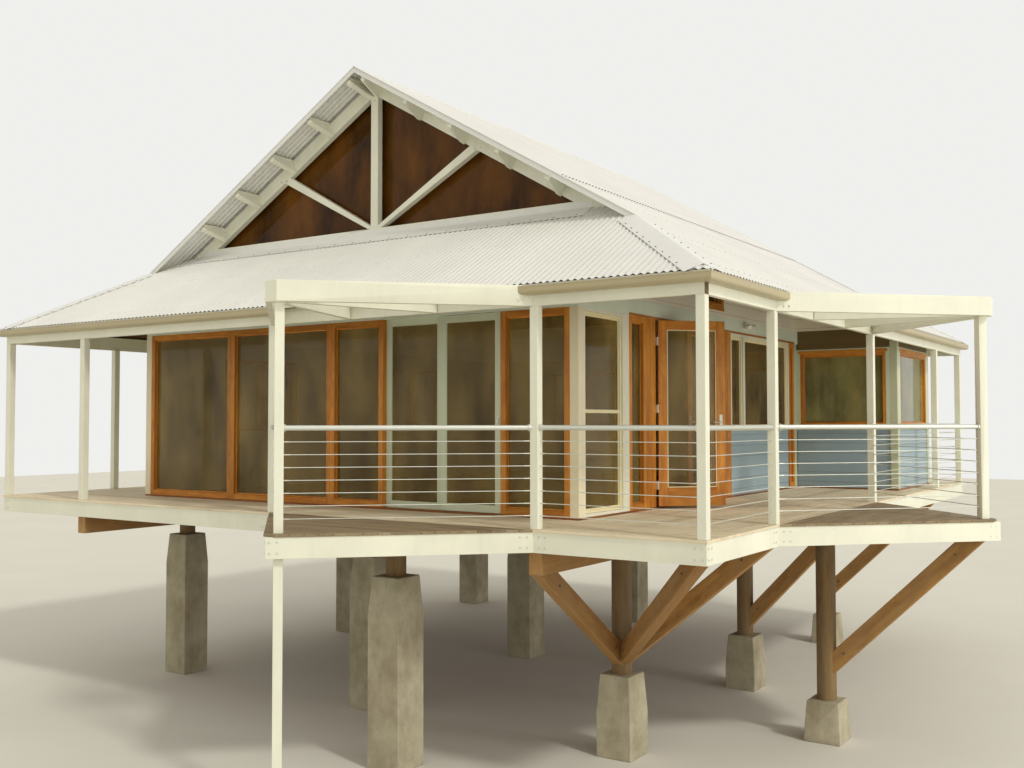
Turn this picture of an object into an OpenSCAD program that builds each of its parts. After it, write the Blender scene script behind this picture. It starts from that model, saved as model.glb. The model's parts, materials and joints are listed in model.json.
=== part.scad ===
// Timber stilt house on a slope: a square pavilion with a Dutch gable roof of
// corrugated steel, a verandah deck with two triangular bays under open
// pergolas, and round poles with raking braces on concrete footings.

/* [Plan] */
// Side of the structural grid in plan
grid = 1800; // [1600:50:2000]
// How far the tip of each triangular deck bay stands out
bay_reach = 1780; // [1500:10:1900]
// Width of the walk between the front deck edge and the front wall
front_walk = 1050; // [900:10:1300]
// Width of the walk between the right deck edge and the right wall
side_walk = 1900; // [1700:10:2100]
// Width of the walk along the back and left walls
back_walk = 900; // [850:10:1200]

/* [Heights] */
// Height of the deck surface above the lowest ground
deck_height = 2600; // [2400:10:3000]
// Clear height from the deck to the underside of the eaves beams
eave_height = 2160; // [2050:10:2300]
// Height of the heads of doors and windows above the deck
head_height = 2140; // [2050:10:2160]
// Fall of the ground for each metre towards the back left
ground_rise = 210; // [150:5:240]

/* [Timber] */
// Width of the square verandah posts
post_w = 90; // [80:5:110]
// Depth of the eaves beams
beam_h = 200; // [160:10:240]
// Thickness of the eaves beams and pergola beams
beam_t = 60; // [45:5:80]
// Depth of the deck fascia boards
fascia_h = 200; // [180:5:240]
// Thickness of the deck fascia boards
fascia_t = 40; // [30:5:50]
// Thickness of the deck boards
board_t = 25; // [20:1:32]
// Width of the laminated bearers
bearer_w = 150; // [120:10:180]
// Depth of the laminated bearers
bearer_h = 220; // [180:10:260]
// Width of a deck joist
joist_w = 45; // [35:5:60]
// Diameter of the round poles
pole_d = 220; // [180:10:260]
// Width of a raking brace
brace_w = 120; // [90:10:140]
// Depth of a raking brace
brace_h = 190; // [150:10:220]

/* [Footings] */
// Width of a footing block at its foot
footing_w = 420; // [360:10:480]
// Width of a footing block at its top
footing_top_w = 360; // [300:10:400]
// Height of the tapered block above the straight pier
footing_h = 420; // [360:10:440]

/* [Walls] */
// Thickness of the wall frames
wall_t = 110; // [90:5:130]
// Width of a window stile or mullion
stile_w = 70; // [50:5:90]
// Thickness of the glass
glass_t = 8; // [6:1:12]
// Depth of the beam that runs over the doors and windows
lintel_h = 200; // [160:10:240]
// Width of one french door leaf
leaf_w = 850; // [800:10:880]
// Thickness of a door leaf
leaf_t = 40; // [35:1:45]
// Angle at which the left french door leaf stands open
leaf_open = 45; // [20:1:90]
// Angle at which the right french door leaf stands open
right_leaf_open = 0; // [0:1:90]

/* [Roof] */
// Pitch of the roof in degrees
roof_pitch = 30.3; // [28:0.1:33]
// Thickness of the roof sheets with their battens
roof_t = 60; // [50:5:80]
// How far up the hip the gable verge stands, measured in plan
verge_set = 1400; // [1200:10:1600]
// Overhang of the gable verge in front of the truss
verge_over = 400; // [300:10:450]
// Depth of the gable truss chords
chord_h = 200; // [150:10:240]
// Thickness of the gable truss
truss_t = 90; // [70:5:110]

/* [Railing] */
// Height of the centre of the handrail above the deck
rail_height = 980; // [950:5:1050]
// Diameter of the handrail tube
rail_d = 50; // [40:2:60]
// Diameter of a railing wire
wire_d = 8; // [6:1:10]
// Number of railing wires
wire_count = 7; // [5:1:8]

/* [Hidden] */

cream = [0.90, 0.89, 0.80];
pale_green = [0.74, 0.79, 0.72];
cedar = [0.72, 0.38, 0.14];
timber = [0.55, 0.38, 0.22];
concrete = [0.62, 0.60, 0.53];
steel_white = [0.92, 0.92, 0.88];
glass_tint = [0.55, 0.62, 0.60, 0.4];
deck_grey = [0.62, 0.55, 0.45];
panel_blue = [0.62, 0.70, 0.74];

house_w = 6 * grid;
bay_start = grid;
bay_mid = 2 * grid;
bay_end = 3 * grid;
gap = 0.3;
big = 40000;
slope = tan(roof_pitch);

fascia_z = -board_t - fascia_h;
bearer_z = fascia_z - bearer_h;
pole_in = pole_d / 2;
beam_top = eave_height + beam_h;
nosing = 15;
roof_base = beam_top + gap + roof_t - nosing * slope;
eave_out = 50;
eave_low = roof_base - eave_out * slope - roof_t;
leaf_clear = 5;
ridge_in = house_w / 2;
head_gap = 120;
lintel_z = head_height + head_gap;
lintel_top = lintel_z + lintel_h;
post_in = nosing + post_w / 2;
gutter_w = 110;
gutter_h = 110;
gutter_wall = 6;

wall_x1 = -side_walk;
wall_x0 = -house_w + grid;
wall_y0 = front_walk;
wall_y1 = house_w - back_walk;
side_bay_y0 = 7900;
side_bay_x1 = -350;

// The deck edge, anticlockwise from the near corner
deck_edge = [
    [0, 0], [0, bay_start], [bay_reach, bay_mid], [0, bay_end], [0, house_w],
    [-house_w, house_w], [-house_w, 0], [-bay_end, 0], [-bay_mid, -bay_reach], [-bay_start, 0]
];

// The middle of the whole outline is the origin in plan
middle = (house_w + gutter_w - nosing - bay_reach) / 2;
module place() translate([middle, -middle, deck_height]) children();

function unit(v) = v / norm(v);
function inward(a, b) = let (u = unit(b - a)) [-u[1], u[0]];
function inset(pts, d) = let (n = len(pts)) [
    for (i = [0:n - 1])
        let (
            before = inward(pts[(i + n - 1) % n], pts[i]),
            after = inward(pts[i], pts[(i + 1) % n])
        )
        pts[i] + d * (before + after) / (1 + before * after)
];

module ring(pts, from, to, z, h) {
    translate([0, 0, z]) linear_extrude(h) difference() {
        polygon(inset(pts, from));
        polygon(inset(pts, to));
    }
}

// Boards along the edges of an outline, mitred, with a fine joint at each corner
module boards(pts, from, to, z, h) {
    outer = inset(pts, from);
    inner = inset(pts, to);
    n = len(pts);
    for (i = [0:n - 1]) {
        j = (i + 1) % n;
        along = unit(pts[j] - pts[i]) * gap;
        translate([0, 0, z]) linear_extrude(h)
            polygon([outer[i] + along, outer[j] - along, inner[j] - along, inner[i] + along]);
    }
}

module block(low, high) translate(low) cube(high - low);

// The right side repeats the front side across the diagonal of the square
module as_right_side() mirror([1, 1, 0]) children();

// A straight timber between two points of one upright plane
module raker(a, b, w, h) {
    flat = norm([b[0] - a[0], b[1] - a[1]]);
    long = norm(b - a);
    translate(a)
        rotate([0, 0, atan2(b[1] - a[1], b[0] - a[0])])
            rotate([0, -atan2(b[2] - a[2], flat), 0])
                translate([0, -w / 2, -h / 2]) cube([long, w, h]);
}

// Footings, poles and floor frame

// Each pole: its place, and the top of its block above the lowest ground
near_poles = [[-grid, grid, 890], [-grid, bay_end, 720], [-grid, 5 * grid, 470]];
bay_poles = [[-pole_in, bay_mid, 460], [-bay_mid, pole_in, 2010]];
short_pole = 150;
function ground(x, y) = footing_h + ground_rise * (bay_reach - x) / 1000;
far_poles = [
    for (x = [-bay_end, -5 * grid], y = [grid, bay_end, 5 * grid])
        [x, y, min(ground(x, y), deck_height + bearer_z - short_pole)]
];
all_poles = concat(near_poles, far_poles, bay_poles);

module footing(p) {
    top = p[2];
    translate([p[0], p[1], -deck_height]) {
        translate([-footing_w / 2, -footing_w / 2, 0]) cube([footing_w, footing_w, top - footing_h]);
        translate([0, 0, top - footing_h])
            rotate(45) cylinder(h = footing_h, d1 = footing_w * sqrt(2), d2 = footing_top_w * sqrt(2), $fn = 4);
    }
}

module footings() color(concrete) for (p = all_poles) footing(p);

module pole(p, top) translate([p[0], p[1], p[2] - deck_height])
    cylinder(h = deck_height + top - p[2], d = pole_d, $fn = 48);

module poles() color(timber) {
    for (p = concat(near_poles, far_poles)) pole(p, bearer_z);
    for (p = bay_poles) pole(p, fascia_z);
}

// A brace from low on a pole up to a height under the floor frame
brace_in = 200;
middle_brace_in = 400;
tip_brace_in = 300;
bearer_brace_in = 200;
brace_foot = 150;
high_foot = 340;
module brace(p, to, top, up = brace_foot) {
    foot = [p[0], p[1], p[2] - deck_height + up];
    head = [to[0], to[1], top];
    difference() {
        raker(foot, head + brace_h * unit(head - foot), brace_w, brace_h);
        translate([p[0], p[1], -deck_height]) cylinder(h = deck_height, d = pole_d + 2 * gap, $fn = 48);
        translate([-big / 2, -big / 2, top]) cube([big, big, big]);
    }
}

module pole_braces() color(timber) {
    to_bearer_end = [-grid, bearer_brace_in];
    to_right_edge = [-brace_in, grid];
    brace(near_poles[0], to_bearer_end, bearer_z);
    brace(near_poles[0], to_right_edge, fascia_z);
    // The diagonal brace is cut to clear the two beside it
    difference() {
        brace(near_poles[0], [-brace_in, brace_in], fascia_z);
        for (side = [to_bearer_end, to_right_edge])
            raker([-grid, grid, near_poles[0][2] - deck_height], [side[0], side[1], 0], brace_w + 2 * gap, big / 4);
    }
    brace(near_poles[1], [-middle_brace_in, bay_end], fascia_z);
    brace(near_poles[2], [-brace_in, 5 * grid], fascia_z, high_foot);
    brace(bay_poles[0], [bay_reach - tip_brace_in, bay_mid], fascia_z, high_foot);
}

bearer_lines = [grid, bay_end, 5 * grid];
module bearers() color(timber) {
    for (a = bearer_lines) block([-a - bearer_w / 2, fascia_t, bearer_z], [-a + bearer_w / 2, house_w - fascia_t, fascia_z]);
}

joist_gap = grid / 4;
module joists() color(timber) intersection() {
    for (y = concat([pole_in], [for (i = [-3:23]) i * joist_gap]))
        block([-house_w, y - joist_w / 2, fascia_z], [bay_reach, y + joist_w / 2, -board_t]);
    translate([0, 0, fascia_z]) linear_extrude(fascia_h) polygon(inset(deck_edge, nosing + fascia_t + gap));
}

module deck_fascia() color(cream) boards(deck_edge, nosing, nosing + fascia_t, fascia_z, fascia_h);

joint = 2;
module slab(x0, y0, x1, y1, z0, z1) block([x0, y0, z0], [x1, y1, z1]);

// The walks round the house
module decking() color(deck_grey) {
    slab(-house_w, 0, 0, wall_y0 - joint, -board_t, 0);
    slab(wall_x1 + joint, wall_y0, 0, side_bay_y0 - joint, -board_t, 0);
    slab(side_bay_x1 + joint, side_bay_y0, 0, wall_y1, -board_t, 0);
    slab(-house_w, wall_y1 + joint, 0, house_w, -board_t, 0);
    slab(-house_w, wall_y0, wall_x0 - joint, wall_y1, -board_t, 0);
}
module bay_decking_form() translate([0, 0, -board_t]) linear_extrude(board_t)
    polygon([[-bay_end + joint, -joint], [-bay_mid, -bay_reach], [-bay_start - joint, -joint]]);
module front_bay_decking() color(timber) bay_decking_form();
module right_bay_decking() color(timber) as_right_side() bay_decking_form();

floor_z = 20;
track_in = 40;
track_y = wall_y0 + track_in;
track_half = 5;
module house_floor() color(timber) {
    slab(wall_x0, wall_y0, wall_x1, wall_y1, -board_t, floor_z);
    slab(wall_x1 + gap, side_bay_y0, side_bay_x1, wall_y1, -board_t, floor_z);
    // The low rail that the sliding door runs on
    block([front_edges[3], track_y - track_half, 0], [front_edges[1], track_y + track_half, floor_z + slider_lift - gap]);
}

// Verandah posts, beams and gutters

// A post, or the space that a rail end keeps clear round it
module post(x, y, grow = 0) {
    half = post_w / 2 + grow;
    block([x - half, y - half, 0], [x + half, y + half, eave_height]);
}
module front_line_posts(places, grow = 0) for (a = places) post(-a, post_in, grow);

module front_posts() color(cream) front_line_posts([post_in, bay_start, bay_end, 5 * grid, house_w - post_in]);
module right_posts() color(cream) as_right_side() front_line_posts([bay_start, bay_end, 5 * grid, house_w - post_in]);
module back_posts() color(cream) for (a = [bay_start, bay_end, 5 * grid, house_w - post_in]) post(-a, house_w - post_in);
module left_posts() color(cream) for (a = [bay_start, bay_end, 5 * grid]) post(-house_w + post_in, a);

tip_back = 190;
tip_in = bay_reach - tip_back;
module bay_post(grow = 0) translate([-bay_mid, -tip_in, 0]) rotate(45) post(0, 0, grow);
module front_bay_post() color(cream) {
    bay_post();
    translate([-bay_mid, -tip_in, -deck_height]) rotate(45)
        block([-post_w / 2, -post_w / 2, 0], [post_w / 2, post_w / 2, deck_height - board_t]);
}
module right_bay_post() color(cream) as_right_side() bay_post();

square_edge = [[0, 0], [0, house_w], [-house_w, house_w], [-house_w, 0]];
module eaves_beams() color(cream) boards(square_edge, nosing, nosing + beam_t, eave_height, beam_h);

module fan_beam(a, b, h) {
    run = b - a;
    translate([a[0], a[1], eave_height]) rotate(atan2(run[1], run[0]))
        translate([0, -beam_t / 2, 0]) cube([norm(run), beam_t, h]);
}

// Two edge beams and two fan rafters that meet over the tip of a bay
fan_in = 1200;
fan_shallow = 40;
tip_cut = 75;
fan_starts = [bay_start + fan_in, bay_end - fan_in];
pergola_edge = [[-bay_end, nosing - gap], [-bay_mid, -bay_reach], [-bay_start, nosing - gap]];
module front_pergola_form() {
    inner_tip = inset(pergola_edge, beam_t)[1];
    back_a = inner_tip + unit(pergola_edge[0] - pergola_edge[1]) * house_w;
    back_b = inner_tip + unit(pergola_edge[2] - pergola_edge[1]) * house_w;
    difference() {
        intersection() {
            union() {
                translate([0, 0, eave_height]) linear_extrude(beam_h) difference() {
                    polygon(pergola_edge);
                    polygon([back_a, inner_tip, back_b]);
                }
                for (a = fan_starts) fan_beam([-a, nosing], inner_tip, beam_h - fan_shallow);
            }
            translate([0, 0, eave_height]) linear_extrude(beam_h) polygon(pergola_edge);
        }
        // The two edge beams end square at the tip
        block([-house_w, -big, 0], [0, -bay_reach + tip_cut, big]);
        // The beams are notched under the edge of the roof
        block([-house_w, -eave_out - leaf_clear, eave_low - leaf_clear], [0, big, big]);
    }
}
module front_pergola() color(cream) front_pergola_form();
module right_pergola() color(cream) as_right_side() front_pergola_form();

// Gutters with a round lower front edge and a folded lip, mitred against the pergolas
gutter_top = beam_top - 12;
gutter_bend = 45;
gutter_lip = 14;
gutter_back = nosing - gap;
gutter_front = nosing - gutter_w;
gutter_foot = gutter_top - gutter_h;
function gutter_bow(in) = [
    for (a = [0:15:90])
        [gutter_front + gutter_bend, gutter_foot + gutter_bend] - (gutter_bend - in) * [sin(a), cos(a)]
];
back_top = eave_low - leaf_clear;
gutter_section = concat(
    [[gutter_back, back_top], [gutter_back, gutter_foot]], gutter_bow(0),
    [[gutter_front, gutter_top], [gutter_front + gutter_lip, gutter_top]],
    [[gutter_front + gutter_lip, gutter_top - gutter_wall], [gutter_front + gutter_wall, gutter_top - gutter_wall]],
    [for (i = [6:-1:0]) gutter_bow(gutter_wall)[i]],
    [[gutter_back - gutter_wall, gutter_foot + gutter_wall], [gutter_back - gutter_wall, back_top]]
);
gutter_end = concat(
    [[gutter_back, back_top], [gutter_back, gutter_foot]], gutter_bow(0),
    [[gutter_front, gutter_top], [gutter_front + gutter_lip, gutter_top], [gutter_front + gutter_lip, back_top]]
);
module gutter_piece(x, long, section) translate([x, 0, 0])
    rotate([90, 0, -90]) linear_extrude(long) mirror([1, 0]) polygon(section);
module eave_wedge() translate([-house_w / 2, house_w / 2, 0])
    linear_extrude(big) polygon([[0, -gap], [-big, -big - gap], [big, -big - gap]]);
module gutter_side(section) intersection() {
    gutter_piece(gutter_w, house_w + 2 * gutter_w, section);
    eave_wedge();
}
module pergola_grown(d) linear_extrude(big) polygon(inset(pergola_edge, -d));
module stopped_gutter() {
    difference() {
        gutter_side(gutter_section);
        pergola_grown(gap + gutter_wall);
    }
    intersection() {
        gutter_side(gutter_end);
        difference() {
            pergola_grown(gap + gutter_wall);
            pergola_grown(gap);
        }
    }
}
module gutters() color(steel_white) {
    stopped_gutter();
    as_right_side() stopped_gutter();
    translate([0, house_w, 0]) mirror([0, 1, 0]) gutter_side(gutter_section);
    translate([-house_w, 0, 0]) mirror([1, 0, 0]) as_right_side() gutter_side(gutter_section);
}

// Railings: a tube and taut wires from post to post

wire_first = 130;
wire_gap = 120;
module railing(a, b) {
    run = b - a;
    translate([a[0], a[1], 0]) rotate(atan2(run[1], run[0])) {
        translate([0, 0, rail_height]) rotate([0, 90, 0]) cylinder(h = norm(run), d = rail_d, $fn = 24);
        for (i = [0:wire_count - 1])
            translate([0, 0, wire_first + i * wire_gap]) rotate([0, 90, 0]) cylinder(h = norm(run), d = wire_d, $fn = 13);
    }
}
tip_point = [-bay_mid, -tip_in];
module rail_line(pts) difference() {
    for (i = [0:len(pts) - 2]) railing(pts[i], pts[i + 1]);
    front_line_posts([post_in, bay_start, bay_end, 5 * grid, house_w - post_in], gap);
    bay_post(gap);
}
bay_rails = [[-post_in, post_in], [-bay_start, post_in], tip_point, [-bay_end, post_in]];
side_rails = [[-5 * grid, post_in], [-house_w + post_in, post_in]];
module front_railing() color(steel_white) rail_line(bay_rails);
module right_railing() color(steel_white) as_right_side() rail_line(concat(bay_rails, side_rails));
module back_railing() color(steel_white) translate([0, house_w, 0]) mirror([0, 1, 0])
    rail_line([[-post_in, post_in], [-bay_start, post_in], [-bay_end, post_in]]);

// Walls: timber frames with glass, split at the doorways

glaze_low = floor_z;
slider_lift = 5;
module frame_panel(x0, x1, z0, z1) {
    difference() {
        block([x0, 0, z0], [x1, wall_t, z1]);
        block([x0 + stile_w, -1, z0 + stile_w], [x1 - stile_w, wall_t + 1, z1 - stile_w]);
    }
}
module glass_panel(x0, x1, z0, z1)
    block([x0 + stile_w, wall_t / 2 - glass_t / 2, z0 + stile_w], [x1 - stile_w, wall_t / 2 + glass_t / 2, z1 - stile_w]);

// Edges between the panels of the front wall, from the right corner to the left one
corner_w = wall_t;
front_edges = [wall_x1 - corner_w, -2900, -3750, -4600, -5450, -7250, wall_x0 + corner_w];
slider_panel = 1;

module front_wall() color(cedar) for (i = [0:len(front_edges) - 2]) if (i != slider_panel && i != slider_panel + 1)
    translate([0, wall_y0, 0]) frame_panel(front_edges[i + 1], front_edges[i], glaze_low, lintel_z);
module front_glass() color(glass_tint) for (i = [0:len(front_edges) - 2]) if (i != slider_panel && i != slider_panel + 1)
    translate([0, wall_y0, 0]) glass_panel(front_edges[i + 1], front_edges[i], glaze_low, lintel_z);

module on_right_wall() translate([wall_x1, 0, 0]) rotate(90) children();

door_y0 = 2880;
door_y1 = door_y0 + 2 * leaf_w + 4 * leaf_clear;
sill_z = 910;
// Cedar and painted frames of the right wall: where each starts and ends, and its foot
cedar_frames = [[2200, 2630, glaze_low], [7550, side_bay_y0 - corner_w, glaze_low]];
cedar_jambs = [[2630, door_y0], [door_y1, 5210]];
painted_frames = [[wall_y0 + corner_w, 2080, glaze_low], [5210, 5700, sill_z], [5700, 6950, sill_z], [6950, 7550, sill_z]];
mullion = [2080, 2200];
mid_rail_z = 1130;
mid_rail_h = 40;
module right_wall() color(cedar) on_right_wall() {
    for (f = cedar_frames) frame_panel(f[0], f[1], f[2], lintel_z);
    for (f = cedar_jambs) block([f[0], 0, glaze_low], [f[1], wall_t, lintel_z]);
}
module right_windows() color(cream) on_right_wall() {
    for (f = painted_frames) {
        frame_panel(f[0], f[1], f[2], lintel_z);
        if (f[2] < mid_rail_z - stile_w)
            block([f[0] + stile_w, wall_t / 4, mid_rail_z], [f[1] - stile_w, wall_t / 2 - glass_t, mid_rail_z + mid_rail_h]);
    }
    block([mullion[0], 0, glaze_low], [mullion[1], wall_t, lintel_z]);
}
module right_glass() color(glass_tint) on_right_wall() for (f = concat(cedar_frames, painted_frames))
    glass_panel(f[0], f[1], f[2], lintel_z);

// Sheet panels below the sills, under the right windows and in the side room
panel_in = 20;
module lower_panels() color(panel_blue) {
    on_right_wall() block([painted_frames[1][0], panel_in, glaze_low], [painted_frames[3][1], wall_t, sill_z]);
    block([wall_x1, side_bay_y0 + panel_in, glaze_low], [side_bay_x1 - corner_w, side_bay_y0 + wall_t, sill_z]);
    block([side_bay_x1 - wall_t, side_bay_y0 + corner_w, glaze_low], [side_bay_x1 - panel_in, wall_y1 - corner_w, sill_z]);
}

module corner_posts() color(pale_green) {
    block([wall_x1 - corner_w, wall_y0, glaze_low], [wall_x1, wall_y0 + corner_w, lintel_z]);
    block([wall_x0, wall_y0, glaze_low], [wall_x0 + corner_w, wall_y0 + corner_w, lintel_z]);
    block([wall_x0, wall_y1 - corner_w, glaze_low], [wall_x0 + corner_w, wall_y1, lintel_z]);
    block([side_bay_x1 - corner_w, wall_y1 - corner_w, glaze_low], [side_bay_x1, wall_y1, lintel_z]);
    block([side_bay_x1 - corner_w, side_bay_y0, glaze_low], [side_bay_x1, side_bay_y0 + corner_w, lintel_z]);
    block([wall_x1 - corner_w, side_bay_y0 - corner_w, glaze_low], [wall_x1, side_bay_y0 - gap, lintel_z]);
}

// Plain windows in the back and left walls, each given by where it starts
window_w = 1500;
window_low = 900;
window_high = 2000;
back_windows = [-7600, -4400];
left_windows = [2400, 6200];
module back_wall() color(pale_green) difference() {
    block([wall_x0 + corner_w, wall_y1 - wall_t, glaze_low], [side_bay_x1 - corner_w, wall_y1, lintel_z]);
    for (x = back_windows) block([x, wall_y1 - wall_t - 1, window_low], [x + window_w, wall_y1 + 1, window_high]);
}
module left_wall() color(pale_green) difference() {
    block([wall_x0, wall_y0 + corner_w, glaze_low], [wall_x0 + wall_t, wall_y1 - corner_w, lintel_z]);
    for (y = left_windows) block([wall_x0 - 1, y, window_low], [wall_x0 + wall_t + 1, y + window_w, window_high]);
}
module window_glass() color(glass_tint) {
    for (x = back_windows)
        block([x, wall_y1 - wall_t / 2, window_low], [x + window_w, wall_y1 - wall_t / 2 + glass_t, window_high]);
    for (y = left_windows)
        block([wall_x0 + wall_t / 2, y, window_low], [wall_x0 + wall_t / 2 + glass_t, y + window_w, window_high]);
}

// The room that stands out at the right has a window over a sheet panel in two walls
side_head = 2100;
side_frame = 60;
module side_bay_wall() color(pale_green) {
    difference() {
        block([wall_x1, side_bay_y0, sill_z], [side_bay_x1 - corner_w, side_bay_y0 + wall_t, lintel_z]);
        block([wall_x1 + side_frame, side_bay_y0 - 1, sill_z + side_frame],
            [side_bay_x1 - corner_w - side_frame, side_bay_y0 + wall_t + 1, side_head]);
    }
    difference() {
        block([side_bay_x1 - wall_t, side_bay_y0 + corner_w + gap, sill_z], [side_bay_x1, wall_y1 - corner_w, lintel_z]);
        block([side_bay_x1 - wall_t - 1, side_bay_y0 + corner_w + side_frame, sill_z + side_frame],
            [side_bay_x1 + 1, wall_y1 - corner_w - side_frame, side_head]);
    }
}
module side_bay_glass() color(glass_tint) {
    y = side_bay_y0 + wall_t / 2;
    block([wall_x1 + side_frame, y, sill_z + side_frame], [side_bay_x1 - corner_w - side_frame, y + glass_t, side_head]);
    x = side_bay_x1 - wall_t / 2;
    block([x, side_bay_y0 + corner_w + side_frame, sill_z + side_frame],
        [x + glass_t, wall_y1 - corner_w - side_frame, side_head]);
}

wall_line = [
    [wall_x1, wall_y0], [wall_x1, side_bay_y0], [side_bay_x1, side_bay_y0], [side_bay_x1, wall_y1],
    [wall_x0, wall_y1], [wall_x0, wall_y0]
];
module lintels() color(pale_green) boards(wall_line, 0, wall_t, lintel_z, lintel_h);

// The wall above the lintels reaches up to the roof sheets
clere_w = 1500;
clere_up = 120;
clere_z = lintel_top + clere_up;
clere_h = 420;
clere_first = 2400;
clere_apart = 300;
clere_y = [for (i = [0:2]) clere_first + i * (clere_w + clere_apart)];
module upper_wall() color(pale_green) difference() {
    intersection() {
        boards(wall_line, 0, wall_t, lintel_top, big / 4);
        below_roof([0:90:270], roof_t + gap);
    }
    for (y = clere_y) block([wall_x1 - wall_t - 1, y, clere_z], [wall_x1 + 1, y + clere_w, clere_z + clere_h]);
    // The gable trusses run through the two side walls
    for (y = [truss_y, house_w - truss_y - truss_t])
        block([-house_w, y - gap, gable_foot - gap], [0, y + truss_t + gap, big]);
}
module upper_glass() color(glass_tint) for (y = clere_y)
    block([wall_x1 - wall_t / 2, y, clere_z], [wall_x1 - wall_t / 2 + glass_t, y + clere_w, clere_z + clere_h]);

// Doors

leaf_stile = 110;
leaf_foot = 220;
barrel_r = 7;

// A glazed leaf with its edge at the origin, reaching along +X
module door_leaf(w, h, stile = leaf_stile, foot = leaf_foot) {
    difference() {
        cube([w, leaf_t, h]);
        translate([stile, -1, foot]) cube([w - 2 * stile, leaf_t + 2, h - foot - stile]);
    }
    translate([stile, leaf_t / 2 - glass_t / 2, foot]) cube([w - 2 * stile, glass_t, h - foot - stile]);
}
leaf_gap = 10;
leaf_low = glaze_low + leaf_gap;
leaf_h = lintel_z - leaf_low - leaf_gap;
hinge_out = 25;
hinge_x = wall_x1 + hinge_out;
hinge_off = barrel_r + gap;

// A leaf that turns about the vertical axis through the origin
leaf_long = (door_y1 - door_y0) / 2 - 2 * leaf_clear - hinge_off;
module hung_leaf() translate([hinge_off, 0, 0]) door_leaf(leaf_long, leaf_h);
hinge_h = 100;
hinge_plate = [-6, 2];
module hinge_set(toward) for (z = [2 * hinge_h, leaf_h / 2, leaf_h - 3 * hinge_h]) translate([0, 0, z]) {
    cylinder(h = hinge_h, r = barrel_r, $fn = 24);
    block(
        [wall_x1 - hinge_x, hinge_plate[0] * toward - hinge_plate[1], 0],
        [0, hinge_plate[0] * toward + hinge_plate[1], hinge_h]
    );
}
hinge_y0 = door_y0 + leaf_clear;
hinge_y1 = door_y1 - leaf_clear;
module french_door_left() color(cedar) translate([hinge_x, hinge_y0, leaf_low]) rotate(90 - leaf_open) hung_leaf();
module french_door_right() color(cedar) translate([hinge_x, hinge_y1, leaf_low])
    mirror([0, 1, 0]) rotate(90 - right_leaf_open) hung_leaf();
module door_hinges() color(steel_white) {
    translate([hinge_x, hinge_y0, leaf_low]) hinge_set(1);
    translate([hinge_x, hinge_y1, leaf_low]) hinge_set(-1);
}

slider_stile = 75;
slider_h = lintel_z - glaze_low - 2 * slider_lift;
slider_w = front_edges[slider_panel] - front_edges[slider_panel + 1] - 2 * leaf_clear;
module sliding_door() color(pale_green)
    translate([front_edges[slider_panel + 1] + leaf_clear, track_y - leaf_t / 2, glaze_low + slider_lift])
        door_leaf(slider_w, slider_h, slider_stile, slider_stile);
module sliding_side_panel() color(pale_green)
    translate([front_edges[slider_panel + 2], track_y + leaf_t / 2 + leaf_clear, glaze_low])
        door_leaf(front_edges[slider_panel + 1] - front_edges[slider_panel + 2], lintel_z - glaze_low, slider_stile, slider_stile);

// Roof

// The space under a roof plane that rises inward from each eave, lowered by d
module below_roof(turns, d) intersection_for (turn = turns)
    translate([-house_w / 2, house_w / 2, 0]) rotate(turn)
        translate([0, -house_w / 2, roof_base - d]) rotate([roof_pitch, 0, 0])
            translate([-big / 2, -big / 2, -big]) cube([big, big, big]);

// One sloping slab that rises from the front eave, cut to a plan outline
module roof_slab(outline) intersection() {
    translate([0, 0, roof_base]) rotate([roof_pitch, 0, 0])
        translate([-big / 2, -big / 4, -roof_t * cos(roof_pitch)]) cube([big, big, roof_t * cos(roof_pitch)]);
    linear_extrude(big / 2) polygon(outline);
}
skirt_top = verge_set + verge_over;
notch = roof_t / slope + 4 * leaf_clear;
module skirt_roof() roof_slab([
    [eave_out, -eave_out], [-verge_set, verge_set], [-verge_set - notch, verge_set],
    [-skirt_top - notch, skirt_top], [-house_w + skirt_top + notch, skirt_top],
    [-house_w + verge_set + notch, verge_set], [-house_w + verge_set, verge_set],
    [-house_w - eave_out, -eave_out]
]);
module main_roof() roof_slab([
    [eave_out, -eave_out], [-verge_set, verge_set], [-verge_set, ridge_in], [-house_w + verge_set, ridge_in],
    [-house_w + verge_set, verge_set], [-house_w - eave_out, -eave_out]
]);
module front_roof() color(steel_white) skirt_roof();
module back_roof() color(steel_white) translate([0, house_w, 0]) mirror([0, 1, 0]) skirt_roof();
module right_roof() color(steel_white) as_right_side() main_roof();
module left_roof() color(steel_white) translate([-house_w, 0, 0]) mirror([1, 0, 0]) as_right_side() main_roof();

ridge_z = roof_base + ridge_in * slope;
ridge_t = 12;
ridge_w = 180;
module ridge_cap() color(steel_white) translate([-ridge_in, verge_set, ridge_z])
    rotate([-90, 0, 0]) linear_extrude(house_w - 2 * verge_set)
        polygon([
            [0, -ridge_t], [ridge_w, ridge_w * slope - ridge_t], [ridge_w, ridge_w * slope - gap],
            [0, -gap], [-ridge_w, ridge_w * slope - gap], [-ridge_w, ridge_w * slope - ridge_t]
        ]);

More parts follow.
